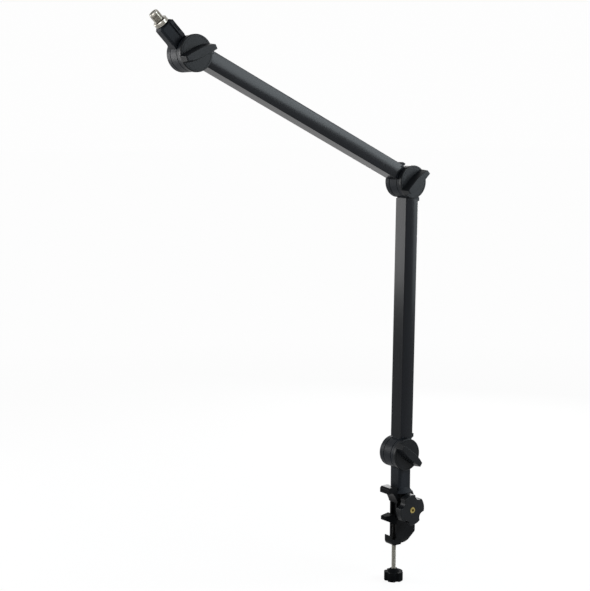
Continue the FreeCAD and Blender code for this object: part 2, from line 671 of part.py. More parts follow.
def add_lock_knob(nodes):
    """Add the lock knob with its brass insert and the stud that bears on the spigot."""
    lobes_back = LOCK_KNOB_FACE + LOCK_KNOB_THICKNESS
    outline = lobed_wire(LOCK_KNOB_D, LOCK_KNOB_LOBES, LOCK_KNOB_NOTCH_SHARE, LOCK_KNOB_LOBE_SHARE, LOCK_KNOB_DEG)
    lobes = slab(outline, LOCK_KNOB_FACE, lobes_back)
    lobes = rounded(lobes, LOCK_KNOB_ROUND, runs_along(Vector(0, 1, 0)))
    hub = rod_y(LOCK_HUB_D / 2, LOCK_KNOB_FACE, LOCK_KNOB_BACK)
    insert_in = LOCK_KNOB_FACE + LOCK_INSERT_DEPTH
    pocket = rod_y(LOCK_INSERT_D / 2, LOCK_KNOB_FACE - OVERRUN, insert_in)
    stud_seat = rod_y(LOCK_STUD_D / 2, LOCK_KNOB_FACE, LOCK_KNOB_BACK + OVERRUN)
    knob = lobes.fuse(hub).cut(pocket).cut(stud_seat)
    insert_face = LOCK_KNOB_FACE - LOCK_INSERT_PROUD
    insert = rod_y(LOCK_INSERT_D / 2, insert_face, insert_in)
    insert = insert.cut(rod_y(LOCK_INSERT_DIMPLE_D / 2, insert_face - OVERRUN, insert_face + LOCK_INSERT_DIMPLE))
    stud = rod_y(LOCK_STUD_D / 2, insert_in, -SPIGOT_R - LOCK_SEAT_GAP)
    axis = Vector(SWIVEL_X, 0.0, -LOCK_DROP)
    nodes["lock_knob"] = at(knob.removeSplitter(), axis, 0.0)
    nodes["lock_insert"] = at(insert, axis, 0.0)
    nodes["lock_stud"] = at(stud, axis, 0.0)


def add_post(nodes):
    """Add the swivel post: fork with a flared foot, and the spigot pressed into it."""
    foot = -POST_HEIGHT + THRUST_GAP
    neck = bar(POST_SIDE, POST_SIDE, POST_CORNER, foot, 0.0, POST_OFFSET)
    rim = rod_z(POST_FLANGE_R, foot, foot + POST_RIM, POST_OFFSET)
    flare_foot = Vector(POST_OFFSET, 0, foot + POST_RIM)
    flare = Part.makeCone(POST_FLANGE_R, POST_SIDE / 2, POST_FLARE, flare_foot)
    seat = rod_z(SPIGOT_R, foot - OVERRUN, foot + SPIGOT_SEAT, POST_OFFSET)
    fork = fork_of(neck.fuse([rim, flare])).cut(seat)
    nodes["post_fork"] = at(fork, BASE_PIVOT, 0.0)
    spigot_top = SOCKET_TOP + THRUST_GAP + SPIGOT_SEAT
    nodes["post_spigot"] = rod_z(SPIGOT_R, SPIGOT_END, spigot_top, SWIVEL_X)


def add_arm(nodes, name, foot_pivot, degrees, hook_way, has_top_hook):
    """Add one arm: tube, castings at both ends, pivot bush and tube screws."""
    top_pivot = foot_pivot + turned(degrees).multVec(Vector(0, 0, ARM_LENGTH))
    nodes[f"{name}_tube"] = at(arm_tube(), foot_pivot, degrees)
    nodes[f"{name}_foot"] = at(arm_foot(hook_way), foot_pivot, degrees)
    nodes[f"{name}_fork"] = at(arm_fork(has_top_hook), top_pivot, degrees)
    nodes[f"{name}_pivot_bush"] = at(pivot_bush(), foot_pivot, degrees)
    low_z = screw_place(TUBE_START, 1)
    high_z = screw_place(ARM_LENGTH - TUBE_START, -1)
    nodes[f"{name}_foot_screw"] = at(tube_screw(low_z), foot_pivot, degrees)
    nodes[f"{name}_fork_screw"] = at(tube_screw(high_z), foot_pivot, degrees)


def head_block():
    """Head block: tongue, square neck with a slot in its front, and the stud's seat."""
    neck = bar(HEAD_DEPTH, HEAD_WIDTH, HEAD_CORNER, 0.0, HEAD_LENGTH, HEAD_OFFSET)
    end_edges = [edge for edge in neck.Edges if edge.BoundBox.ZMin > HEAD_LENGTH - THRUST_GAP]
    neck = neck.makeChamfer(HEAD_END_EDGE, end_edges)
    body = tongue_of(neck, HEAD_DEPTH, HEAD_OFFSET, DRUM_R + NECK_LENGTH)
    slot_x = HEAD_OFFSET + HEAD_DEPTH / 2 - HEAD_SLOT_INSET
    slot_top = HEAD_LENGTH - HEAD_SLOT_START
    slot_floor = -HEAD_WIDTH / 2 + HEAD_SLOT_DEPTH
    slot_back = -HEAD_WIDTH / 2 - OVERRUN
    slot = box(slot_x - HEAD_SLOT_WIDTH, slot_x, slot_back, slot_floor, slot_top - HEAD_SLOT_LENGTH, slot_top)
    seat = rod_z(STUD_D / 2, HEAD_LENGTH - STUD_SEAT, HEAD_LENGTH + OVERRUN, HEAD_OFFSET)
    return body.cut(slot).cut(seat).removeSplitter()


def thread_adapter():
    """Flanged thread adapter on the head's stud, for the microphone holder."""
    flange_top = HEAD_LENGTH + THREAD_FLANGE
    thread_top = flange_top + THREAD_LENGTH
    flange = rod_z(THREAD_FLANGE_D / 2, HEAD_LENGTH, flange_top, HEAD_OFFSET)
    flange = flange.makeChamfer(THREAD_CHAMFER, [edge for edge in flange.Edges if is_rim(edge)])
    thread = rod_z(THREAD_D / 2, flange_top, thread_top, HEAD_OFFSET)
    thread = thread.makeChamfer(THREAD_CHAMFER, end_rims(thread, Vector(0, 0, 1)))
    bore = rod_z(STUD_D / 2, HEAD_LENGTH - OVERRUN, thread_top + OVERRUN, HEAD_OFFSET)
    return flange.fuse(thread).cut(bore).removeSplitter()


def add_head(nodes):
    """Add the head: block, pivot bush, stud and thread adapter."""
    nodes["head_block"] = at(head_block(), HEAD_PIVOT, HEAD_TURN)
    nodes["head_pivot_bush"] = at(pivot_bush(), HEAD_PIVOT, HEAD_TURN)
    stud_top = HEAD_LENGTH + THREAD_FLANGE + THREAD_LENGTH - THREAD_CHAMFER
    stud = rod_z(STUD_D / 2, HEAD_LENGTH - STUD_SEAT, stud_top, HEAD_OFFSET)
    nodes["head_stud"] = at(stud, HEAD_PIVOT, HEAD_TURN)
    nodes["thread_adapter"] = at(thread_adapter(), HEAD_PIVOT, HEAD_TURN)


def main():
    """Build every piece and write one STEP file for each."""
    nodes = {}
    add_clamp(nodes)
    add_lock_knob(nodes)
    add_post(nodes)
    add_knuckle(nodes, "base", BASE_PIVOT, 0.0, BASE_WING_DEG)
    add_arm(nodes, "lower", BASE_PIVOT, LOWER_TURN, 1, True)
    add_knuckle(nodes, "elbow", ELBOW_PIVOT, LOWER_TURN, ELBOW_WING_DEG)
    add_arm(nodes, "upper", ELBOW_PIVOT, UPPER_TURN, -1, False)
    add_knuckle(nodes, "head", HEAD_PIVOT, UPPER_TURN, HEAD_WING_DEG)
    add_head(nodes)
    os.makedirs("parts", exist_ok=True)
    for name, shape in nodes.items():
        if not shape.isValid() or len(shape.Solids) != 1:
            raise ValueError(f"{name} is not one valid solid")
        shape.exportStep(f"parts/{name}.step")


main()
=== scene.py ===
"""Studio scene of a desk-clamped microphone boom arm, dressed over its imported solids.

Lengths are metres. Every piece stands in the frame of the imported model: +Z up, the clamp's mouth
towards -X, the tilt axes along Y and the hand knobs on the -Y side.
"""

import json
import logging
import math
from contextlib import contextmanager
from dataclasses import dataclass
from enum import Enum
from functools import cache
from typing import Callable, Iterator, Optional, Sequence

import bpy
from mathutils import Matrix, Vector
from mathutils.bvhtree import BVHTree


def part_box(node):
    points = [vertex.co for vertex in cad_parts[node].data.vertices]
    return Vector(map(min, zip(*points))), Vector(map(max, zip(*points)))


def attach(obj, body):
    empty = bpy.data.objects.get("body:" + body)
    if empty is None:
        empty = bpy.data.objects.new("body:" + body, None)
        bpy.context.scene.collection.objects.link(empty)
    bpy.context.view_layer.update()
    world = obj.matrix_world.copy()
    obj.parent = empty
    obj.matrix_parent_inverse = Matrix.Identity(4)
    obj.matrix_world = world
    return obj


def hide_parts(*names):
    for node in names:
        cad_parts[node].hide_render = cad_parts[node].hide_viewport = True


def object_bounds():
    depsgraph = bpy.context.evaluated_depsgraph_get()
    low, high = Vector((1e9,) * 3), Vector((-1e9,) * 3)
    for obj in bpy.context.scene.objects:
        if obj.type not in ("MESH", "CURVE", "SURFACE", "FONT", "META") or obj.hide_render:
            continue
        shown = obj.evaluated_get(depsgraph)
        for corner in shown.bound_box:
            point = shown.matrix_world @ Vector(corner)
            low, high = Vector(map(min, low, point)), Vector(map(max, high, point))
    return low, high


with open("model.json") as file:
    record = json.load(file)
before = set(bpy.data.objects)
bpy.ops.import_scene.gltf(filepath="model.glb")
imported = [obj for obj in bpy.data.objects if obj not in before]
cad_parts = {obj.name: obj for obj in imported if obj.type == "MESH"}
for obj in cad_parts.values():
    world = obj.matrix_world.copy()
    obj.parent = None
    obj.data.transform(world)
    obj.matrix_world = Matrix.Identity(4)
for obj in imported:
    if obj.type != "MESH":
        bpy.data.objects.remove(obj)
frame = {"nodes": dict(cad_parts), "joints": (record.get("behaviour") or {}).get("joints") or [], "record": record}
CAD_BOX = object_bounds()

Piece = bpy.types.Object
Edge = bpy.types.MeshEdge
Tree = bpy.types.NodeTree
Socket = bpy.types.NodeSocket
Grain = tuple[Socket, Socket, Socket]
Colour = tuple[float, float, float]
Triple = tuple[float, float, float]
Spots = Sequence[tuple[float, float]]

IMAGE_WIDTH = 590
IMAGE_HEIGHT = 591
MM_PER_M = 1000
TINY = 1e-5
UPWARD_SHARE = 0.9
SMOOTH_DEG = 32.0
THREAD_SMOOTH_DEG = 28.0
FULL_TURN = 2 * math.pi
ORIGIN = (0.0, 0.0, 0.0)
NO_TURN = (0.0, 0.0, 0.0)
NO_STRETCH = (1.0, 1.0, 1.0)
WHITE = (1.0, 1.0, 1.0)
UP = Vector((0.0, 0.0, 1.0))
BACK = Vector((0.0, 1.0, 0.0))
FINE_DETAIL = 2.0
GRAIN_DETAIL = 4.0
CLOUD_DETAIL = 5.0
RUB_DETAIL = 6.0
MIX_COLOURS = (6, 7)
MIX_RESULT = 2
NEAREST_DISTANCE = 3
SELECT_MODES = {"vertices": "VERT", "edges": "EDGE", "polygons": "FACE"}

log = logging.getLogger("boom_arm")


class Slot(str, Enum):
    """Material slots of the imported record."""

    CLAMP = "clamp_cast"
    JOINT = "joint_cast"
    TUBE = "tube_satin"
    KNOB = "knob_plastic"
    PAD = "pad_rubber"
    BRONZE = "bronze"
    BRASS = "brass"
    STEEL = "bright_steel"
    NYLON = "nylon"
    NICKEL = "nickel"


class Knuckle(str, Enum):
    """The three tilting joints, named as the solids are."""

    BASE = "base"
    ELBOW = "elbow"
    HEAD = "head"


def add_node(tree: Tree, kind: str, inputs: dict, **settings: object) -> bpy.types.Node:
    """Add a shader node, set it up and feed its inputs.

    Args:
        tree: Node tree.
        kind: Node type without its prefix.
        inputs: Value or source of each input, by name or place.
        settings: Settings of the node.

    Returns:
        The node.
    """
    node = tree.nodes.new(f"ShaderNode{kind}")
    for name, value in settings.items():
        setattr(node, name, value)
    for name, value in inputs.items():
        if isinstance(value, Socket):
            tree.links.new(value, node.inputs[name])
        else:
            node.inputs[name].default_value = value
    return node


def seen_rays(tree: Tree) -> Socket:
    """Factor that is 1 for camera rays and those mirrored or let through, and 0 for the others.

    Args:
        tree: Node tree of a material or world.

    Returns:
        The factor socket.
    """
    rays = add_node(tree, "LightPath", {}).outputs
    seen = rays["Is Camera Ray"]
    for kind in ("Is Glossy Ray", "Is Transmission Ray"):
        seen = add_node(tree, "Math", {0: seen, 1: rays[kind]}, operation="MAXIMUM").outputs["Value"]
    return seen


class NodeSheet:
    """Node tree of one material, with short calls for the nodes that the finishes share."""

    def __init__(self, name: str) -> None:
        """Start a material with an empty principled shader.

        Args:
            name: Name of the material.
        """
        self.material = bpy.data.materials.new(name)
        self.material.use_nodes = True
        self.tree = self.material.node_tree
        self.shader = self.tree.nodes["Principled BSDF"]

    def set(self, **sockets: object) -> None:
        """Set shader sockets that are the same all over, written with _ for each space."""
        for name, value in sockets.items():
            self.shader.inputs[name.replace("_", " ")].default_value = value

    def feed(self, socket: str, source: Socket) -> None:
        """Link a source into one of the shader's sockets."""
        self.tree.links.new(source, self.shader.inputs[socket])

    def place(self, turn: Triple = NO_TURN, stretch: Triple = NO_STRETCH) -> Socket:
        """Object coordinates, turned and stretched.

        Args:
            turn: Euler angles that bring the pattern's own axes onto the piece.
            stretch: Scale along each axis after the turn.

        Returns:
            The vector socket.
        """
        spot = add_node(self.tree, "TexCoord", {}).outputs["Object"]
        turned = add_node(self.tree, "Mapping", {"Vector": spot, "Rotation": turn}).outputs["Vector"]
        return add_node(self.tree, "Mapping", {"Vector": turned, "Scale": stretch}).outputs["Vector"]

    def noise(self, vector: Socket, scale: float, detail: float) -> Socket:
        """Noise over a vector, with a number of features per metre and a number of octaves."""
        inputs = {"Vector": vector, "Scale": scale, "Detail": detail}
        return add_node(self.tree, "TexNoise", inputs).outputs["Fac"]

    def spread(self, value: Socket, low: float, high: float, start: float, end: float) -> Socket:
        """Map a factor, from its start to its end, onto a range from low to high."""
        inputs = {"Value": value, "From Min": start, "From Max": end, "To Min": low, "To Max": high}
        return add_node(self.tree, "MapRange", inputs).outputs["Result"]

    def tint(self, factor: Socket, first: object, second: object) -> Socket:
        """Mix two colours by a factor.

        Args:
            factor: The factor.
            first: Colour at 0, or the socket that gives it.
            second: Colour at 1, or the socket that gives it.

        Returns:
            The colour socket.
        """
        ends = [(*end, 1.0) if isinstance(end, tuple) else end for end in (first, second)]
        inputs = {0: factor, **dict(zip(MIX_COLOURS, ends))}
        return add_node(self.tree, "Mix", inputs, data_type="RGBA").outputs[MIX_RESULT]

    def bump(self, height: Socket, depth: float, strength: float, under: Optional[Socket] = None) -> Socket:
        """Bump from a height, on top of another bump where one is given.

        Args:
            height: Height factor.
            depth: Height of a full step in metres.
            strength: Share of the bump that shows.
            under: Normal of a bump underneath.

        Returns:
            The normal socket.
        """
        inputs = {"Height": height, "Distance": depth, "Strength": strength}
        if under is not None:
            inputs["Normal"] = under
        return add_node(self.tree, "Bump", inputs).outputs["Normal"]


@dataclass(frozen=True, kw_only=True)
class Finish:
    """Finish in a mottled colour with a range of gloss, to which each kind adds its own grain."""

    name: str
    base: Colour
    mottle: Colour
    rough: float
    smooth: float
    specular: float = 0.5
    metallic: float = 0.0
    cloud_start: float = 0.3
    cloud_end: float = 0.7
    wear_start: float = 0.3
    wear_end: float = 0.7

    @cache
    def material(self) -> bpy.types.Material:
        """Build the finish's material, once for all pieces that have it.

        Returns:
            The material.
        """
        sheet = NodeSheet(self.name)
        cloud, wear, normal = self.grain(sheet)
        sheet.feed("Base Color", self.colour(sheet, cloud))
        sheet.feed("Roughness", sheet.spread(wear, self.smooth, self.rough, self.wear_start, self.wear_end))
        sheet.feed("Normal", normal)
        sheet.set(Specular_IOR_Level=self.specular, Metallic=self.metallic)
        return sheet.material

    def colour(self, sheet: NodeSheet, cloud: Socket) -> Socket:
        """Mix the finish's two colours by a cloud."""
        factor = sheet.spread(cloud, 0.0, 1.0, self.cloud_start, self.cloud_end)
        return sheet.tint(factor, self.base, self.mottle)

    def grain(self, sheet: NodeSheet) -> Grain:
        """Draw the cloud of the colour, the wear of the gloss and the normal of the surface."""
        raise NotImplementedError


@dataclass(frozen=True, kw_only=True)
class Coating(Finish):
    """Satin coat on a casting: fine peel, faint mottling and a little rub on the coat."""

    peel_scale: float
    peel_depth: float
    peel_strength: float = 0.5
    grit_scale_share: float = 2.7
    grit_depth_share: float = 1 / 3
    grit_strength: float = 0.4
    mottle_scale: float = 60.0
    rub_scale: float = 18.0
    wear_start: float = 0.38
    wear_end: float = 0.6

    def grain(self, sheet: NodeSheet) -> Grain:
        """Draw the mottling, the rub and the peel with its grit.

        Args:
            sheet: Sheet of the material.

        Returns:
            The cloud, the wear and the normal.
        """
        vector = sheet.place()
        cloud = sheet.noise(vector, self.mottle_scale, CLOUD_DETAIL)
        rub = sheet.noise(vector, self.rub_scale, RUB_DETAIL)
        peel = sheet.noise(vector, self.peel_scale, FINE_DETAIL)
        grit = sheet.noise(vector, self.grit_scale_share * self.peel_scale, FINE_DETAIL)
        waves = sheet.bump(peel, self.peel_depth, self.peel_strength)
        depth = self.grit_depth_share * self.peel_depth
        return cloud, rub, sheet.bump(grit, depth, self.grit_strength, waves)


@dataclass(frozen=True, kw_only=True)
class DrawnTube(Finish):
    """Dark anodised tube with fine lines drawn along its length."""

    turn_deg: float
    line_scale: float = 1400.0
    line_length_share: float = 0.004
    line_depth: float = 0.00003
    line_strength: float = 0.18
    grit_strength: float = 0.08
    cloud_scale: float = 14.0
    cloud_length_share: float = 0.3

    def grain(self, sheet: NodeSheet) -> Grain:
        """Draw a long cloud, and the lines with a faint grit, along the tube.

        Args:
            sheet: Sheet of the material.

        Returns:
            The cloud, the wear and the normal.
        """
        turn = (0.0, math.radians(-self.turn_deg), 0.0)
        along = sheet.place(turn, (1.0, 1.0, self.line_length_share))
        lines = sheet.noise(along, self.line_scale, FINE_DETAIL)
        drift = sheet.place(turn, (1.0, 1.0, self.cloud_length_share))
        cloud = sheet.noise(drift, self.cloud_scale, CLOUD_DETAIL)
        grit = sheet.noise(sheet.place(), self.line_scale, FINE_DETAIL)
        drawn = sheet.bump(lines, self.line_depth, self.line_strength)
        return cloud, lines, sheet.bump(grit, self.line_depth, self.grit_strength, drawn)


@dataclass(frozen=True, kw_only=True)
class BareMetal(Finish):
    """Bare or plated metal with fine tool lines round an axis and a little tarnish."""

    metallic: float = 1.0
    axis_turn: Triple = NO_TURN
    line_scale: float = 2600.0
    line_round_share: float = 0.02
    line_depth: float = 0.00001
    line_strength: float = 0.4
    cloud_scale: float = 160.0

    def grain(self, sheet: NodeSheet) -> Grain:
        """Draw the tarnish and the tool lines.

        Args:
            sheet: Sheet of the material.

        Returns:
            The cloud, the wear and the normal.
        """
        stretch = (self.line_round_share, self.line_round_share, 1.0)
        lines = sheet.noise(sheet.place(self.axis_turn, stretch), self.line_scale, FINE_DETAIL)
        cloud = sheet.noise(sheet.place(), self.cloud_scale, CLOUD_DETAIL)
        return cloud, cloud, sheet.bump(lines, self.line_depth, self.line_strength)


@dataclass(frozen=True, kw_only=True)
class ShadePaintedThread(Finish):
    """Bright screw whose upper length is painted black: painted shade for where it runs inside the clamp frame."""

    rough: float = 0.4
    smooth: float = 0.24
    specular: float = 0.12
    # Painted shade: black colour for the screw's length inside the clamp frame, where shade falls.
    shade_colour: Colour = (0.004, 0.004, 0.004)
    shade_start: float
    shade_fade: float = 0.004
    cloud_scale: float = 240.0
    cloud_depth: float = TINY
    cloud_strength: float = 0.3

    def colour(self, sheet: NodeSheet, cloud: Socket) -> Socket:
        """Mix the metal's colour with black painted shade above a height, where it is no bare metal either.

        Args:
            sheet: Sheet of the material.
            cloud: Cloud of the metal's colour.

        Returns:
            The colour socket.
        """
        height = add_node(sheet.tree, "SeparateXYZ", {"Vector": sheet.place()}).outputs["Z"]
        full = self.shade_start + self.shade_fade
        # Painted shade mask: 0 below the frame's foot, 1 above it, where the screw is painted black and not
        # metallic.
        shaded = sheet.spread(height, 0.0, 1.0, self.shade_start, full)
        sheet.feed("Metallic", sheet.spread(shaded, 1.0, 0.0, 0.0, 1.0))
        return sheet.tint(shaded, super().colour(sheet, cloud), self.shade_colour)

    def grain(self, sheet: NodeSheet) -> Grain:
        """Draw one cloud for the colour, the gloss and the surface."""
        cloud = sheet.noise(sheet.place(), self.cloud_scale, CLOUD_DETAIL)
        return cloud, cloud, sheet.bump(cloud, self.cloud_depth, self.cloud_strength)


@dataclass(frozen=True, kw_only=True)
class Moulding(Finish):
    """Moulded plastic or rubber with a spark-eroded grain."""

    grain_scale: float
    grain_depth: float
    grain_strength: float = 0.5
    cloud_scale: float = 45.0

    def grain(self, sheet: NodeSheet) -> Grain:
        """Draw the cloud and the grain.

        Args:
            sheet: Sheet of the material.

        Returns:
            The cloud, the wear and the normal.
        """
        vector = sheet.place()
        cloud = sheet.noise(vector, self.cloud_scale, GRAIN_DETAIL)
        grain = sheet.noise(vector, self.grain_scale, GRAIN_DETAIL)
        return cloud, grain, sheet.bump(grain, self.grain_depth, self.grain_strength)


LOWER_TURN_DEG = 0.9
UPPER_TURN_DEG = -64.9
HEAD_TURN_DEG = -45.0

BLACK = {
    "base": (0.0036, 0.0039, 0.0044), "mottle": (0.0062, 0.0066, 0.0073),
    "peel_scale": 1500.0, "peel_depth": 0.00006,
}
CLAMP_COAT = Coating(name="clamp_coat", rough=0.34, smooth=0.24, specular=0.04, **BLACK)
DULL_BLACK = Coating(name="dull_black", rough=0.5, smooth=0.4, specular=0.005, **BLACK)
JOINT_COAT = Coating(
    name="joint_coat", base=(0.0052, 0.0067, 0.0091), mottle=(0.0084, 0.0104, 0.0136),
    rough=0.56, smooth=0.42, specular=0.1, peel_scale=1700.0, peel_depth=0.00005)
SATIN = {
    "base": (0.0046, 0.0052, 0.0066), "mottle": (0.0074, 0.0082, 0.0102), "rough": 0.24, "smooth": 0.15,
}
LOWER_TUBE = DrawnTube(name="lower_tube_satin", turn_deg=LOWER_TURN_DEG, specular=0.1, **SATIN)
UPPER_TUBE = DrawnTube(name="upper_tube_satin", turn_deg=UPPER_TURN_DEG, specular=0.135, **SATIN)
KNOB_GRAIN = Moulding(
    name="knob_grain", base=(0.0038, 0.0046, 0.0056), mottle=(0.0066, 0.0076, 0.009),
    rough=0.42, smooth=0.3, specular=0.11, grain_scale=1900.0, grain_depth=0.00005)
PAD_RUBBER = Moulding(
    name="pad_rubber", base=(0.008, 0.008, 0.008), mottle=(0.014, 0.014, 0.014),
    rough=0.9, smooth=0.75, specular=0.15, grain_scale=900.0, grain_depth=0.00012)
NYLON = Moulding(
    name="washer_nylon", base=(0.62, 0.6, 0.55), mottle=(0.72, 0.7, 0.65),
    rough=0.5, smooth=0.35, specular=0.5, grain_scale=1200.0, grain_depth=0.00002)
BRONZE = BareMetal(
    name="bush_bronze", base=(0.3, 0.2, 0.1), mottle=(0.22, 0.14, 0.07), rough=0.4, smooth=0.28)
BRASS = BareMetal(
    name="insert_brass", base=(0.36, 0.29, 0.1), mottle=(0.22, 0.175, 0.06), rough=0.3, smooth=0.16,
    axis_turn=(math.pi / 2, 0.0, 0.0))
STEEL = BareMetal(
    name="zinc_steel", base=(0.36, 0.355, 0.32), mottle=(0.26, 0.255, 0.23), rough=0.34, smooth=0.2)
NICKEL = BareMetal(
    name="stud_nickel", base=(0.36, 0.345, 0.31), mottle=(0.2, 0.19, 0.165), rough=0.24, smooth=0.14,
    axis_turn=(0.0, math.radians(-HEAD_TURN_DEG), 0.0))
FINISHES = {
    Slot.CLAMP: CLAMP_COAT, Slot.JOINT: JOINT_COAT, Slot.TUBE: LOWER_TUBE, Slot.KNOB: KNOB_GRAIN,
    Slot.PAD: PAD_RUBBER, Slot.BRONZE: BRONZE, Slot.BRASS: BRASS, Slot.STEEL: STEEL,
    Slot.NYLON: NYLON, Slot.NICKEL: NICKEL,
}


def dress(piece: Piece, finish: Finish) -> None:
    """Give a piece one finish all over."""
    piece.data.materials.clear()
    piece.data.materials.append(finish.material())


def activate(piece: Piece) -> None:
    """Select one piece alone and make it the active one.

    Args:
        piece: The piece.
    """
    bpy.ops.object.select_all(action="DESELECT")
    piece.select_set(True)
    bpy.context.view_layer.objects.active = piece


def everything(element: object) -> bool:
    """Choose an element, whatever it is."""
    return True


@contextmanager
def picked(piece: Piece, kind: str, wanted: Callable[[object], bool] = everything) -> Iterator[None]:
    """Edit mode on one piece, with those elements selected that pass a test.

    Args:
        piece: Piece to edit.
        kind: "vertices", "edges" or "polygons".
        wanted: Test for one element.

    Yields:
        Nothing; the piece leaves edit mode afterwards.
    """
    activate(piece)
    bpy.ops.object.mode_set(mode="EDIT")
    bpy.ops.mesh.select_mode(type=SELECT_MODES[kind])
    bpy.ops.mesh.select_all(action="DESELECT")
    bpy.ops.object.mode_set(mode="OBJECT")
    for element in getattr(piece.data, kind):
        element.select = wanted(element)
    bpy.ops.object.mode_set(mode="EDIT")
    try:
        yield
    finally:
        bpy.ops.object.mode_set(mode="OBJECT")


def ends_of(piece: Piece, edge: Edge) -> list[Vector]:
    """Both ends of an edge."""
    return [piece.data.vertices[index].co for index in edge.vertices]


def bake_place(piece: Piece) -> None:
    """Bake a piece's place into its mesh."""
    activate(piece)
    bpy.ops.object.transform_apply(location=True, rotation=True, scale=True)


def settle(piece: Piece, place: Matrix) -> None:
    """Put a piece, drawn round the origin, in its place."""
    piece.matrix_world = place
    bake_place(piece)


def box(size: Triple, middle: Triple) -> Piece:
    """Box with its size in its mesh.

    Args:
        size: Length along each axis.
        middle: Centre of the box.

    Returns:
        The box.
    """
    bpy.ops.mesh.primitive_cube_add(size=1.0, location=middle, scale=size)
    piece = bpy.context.active_object
    bake_place(piece)
    return piece


def apply_modifier(piece: Piece, kind: str, **settings: object) -> None:
    """Add a modifier, set it up and apply it.

    Args:
        piece: Piece to change.
        kind: Modifier type.
        settings: Its settings.
    """
    activate(piece)
    modifier = piece.modifiers.new(kind.lower(), kind)
    for name, value in settings.items():
        setattr(modifier, name, value)
    bpy.ops.object.modifier_apply(modifier=modifier.name)


def cut_away(piece: Piece, cutter: Piece) -> None:
    """Cut a piece with a cutter, which is then thrown away."""
    apply_modifier(piece, "BOOLEAN", operation="DIFFERENCE", object=cutter, solver="EXACT")
    bpy.data.objects.remove(cutter)


def smooth(piece: Piece, angle_deg: float = SMOOTH_DEG) -> None:
    """Shade a piece smooth, apart from its sharp edges, and keep its large faces flat.

    Args:
        piece: The piece.
        angle_deg: Angle from which an edge stays sharp.
    """
    activate(piece)
    bpy.ops.object.shade_smooth_by_angle(angle=math.radians(angle_deg))
    apply_modifier(piece, "WEIGHTED_NORMAL", keep_sharp=True)


def join(pieces: Sequence[Piece], name: str) -> Piece:
    """Join pieces into the first one.

    Args:
        pieces: Pieces to join.
        name: Name of the result.

    Returns:
        The joined piece.
    """
    activate(pieces[0])
    for piece in pieces[1:]:
        piece.select_set(True)
    bpy.ops.object.join()
    pieces[0].name = name
    return pieces[0]


def add_object(name: str, data: bpy.types.ID) -> Piece:
    """Add an object for a mesh, lamp or camera to the scene.

    Args:
        name: Name of the object.
        data: The mesh, lamp or camera.

    Returns:
        The object.
    """
    piece = bpy.data.objects.new(name, data)
    bpy.context.scene.collection.objects.link(piece)
    return piece


def axis_place(point: Vector, axis: Vector) -> Matrix:
    """Place at a point with the own Z axis along an axis."""
    return Matrix.Translation(point) @ UP.rotation_difference(axis).to_matrix().to_4x4()


def arm_place(foot: Vector, axis: Vector) -> Matrix:
    """Place at a foot with the own Z axis along an axis square to Y, and the own Y axis along Y."""
    return Matrix.Translation(foot) @ Matrix((BACK.cross(axis), BACK, axis)).transposed().to_4x4()


def body_of(node: str) -> str:
    """Name of the body that a node belongs to."""
    bodies = frame["record"]["behaviour"]["bodies"]
    return next(body for body, nodes in bodies.items() if node in nodes)


def slot_of(node: str) -> Slot:
    """Material slot of a node."""
    part = next(part for part in frame["record"]["subparts"] if part["node"] == node)
    return Slot(part["material_slot"])


def joint_point(name: str) -> Vector:
    """Point on the axis of a joint."""
    return Vector(next(joint["pos_m"] for joint in frame["joints"] if joint["name"] == name))


def thread_mount() -> dict:
    """The record's mount for the microphone."""
    return next(mount for mount in frame["record"]["mounts"] if mount["name"] == "mic_thread")


def corners_of(node: str, place: Matrix) -> list[Vector]:
    """Corners of a solid, measured from a place."""
    solid = frame["nodes"][node]
    return [place.inverted() @ solid.matrix_world @ corner.co for corner in solid.data.vertices]


def stand_for(piece: Piece, node: str, finish: Optional[Finish] = None) -> None:
    """Let a finished piece stand for a node: it rides with it, takes its slot and hides it.

    Args:
        piece: Finished piece.
        node: Node that the piece replaces.
        finish: Finish of the piece, if not that of the node's slot.
    """
    slot = slot_of(node)
    dress(piece, finish or FINISHES[slot])
    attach(piece, body_of(node))
    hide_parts(node)
    log.info("%s stands for %s: %d faces", piece.name, node, len(piece.data.polygons))


def seat_copies(model: Piece, nodes: Sequence[str], ending: str) -> None:
    """Seat a copy of a model in the place of each node, facing +Y, and throw the model away.

    Args:
        model: Piece drawn from the origin up along Z.
        nodes: Nodes that the copies stand for.
        ending: What a copy's name adds to that of its node.
    """
    for node in nodes:
        low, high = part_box(node)
        piece = add_object(f"{node}_{ending}", model.data.copy())
        settle(piece, axis_place(Vector(((low.x + high.x) / 2, low.y, (low.z + high.z) / 2)), BACK))
        stand_for(piece, node)
    bpy.data.objects.remove(model)


@dataclass
class SoftCasting:
    """Copy of a solid with its sharp edges rounded, as a casting or moulding has them."""

    node: str
    edge_radius: float
    segments: int = 2
    finish: Optional[Finish] = None
    flat_deg: float = 0.6
    trim_share: float = 1.6
    sharp_deg: float = 34.0

    def build(self) -> None:
        """Copy, merge, shape and round the solid, and dissolve corners thrown off it by the rounding."""
        piece = add_object(f"{self.node}_cast", frame["nodes"][self.node].data.copy())
        with picked(piece, "vertices"):
            bpy.ops.mesh.remove_doubles(threshold=TINY / 2)
            bpy.ops.mesh.dissolve_limited(angle_limit=math.radians(self.flat_deg))
        self.shape(piece)
        skin = BVHTree.FromObject(piece, bpy.context.evaluated_depsgraph_get())
        apply_modifier(
            piece, "BEVEL", width=self.edge_radius, segments=self.segments, limit_method="ANGLE",
            angle_limit=math.radians(self.sharp_deg), use_clamp_overlap=False, loop_slide=False,
        )
        limit = self.trim_share * self.edge_radius
        with picked(piece, "vertices", lambda corner: skin.find_nearest(corner.co)[NEAREST_DISTANCE] > limit):
            bpy.ops.mesh.dissolve_verts()
        smooth(piece, self.sharp_deg)
        stand_for(piece, self.node, self.finish)

    def shape(self, piece: Piece) -> None:
        """Leave the copied solid's shape as it is."""


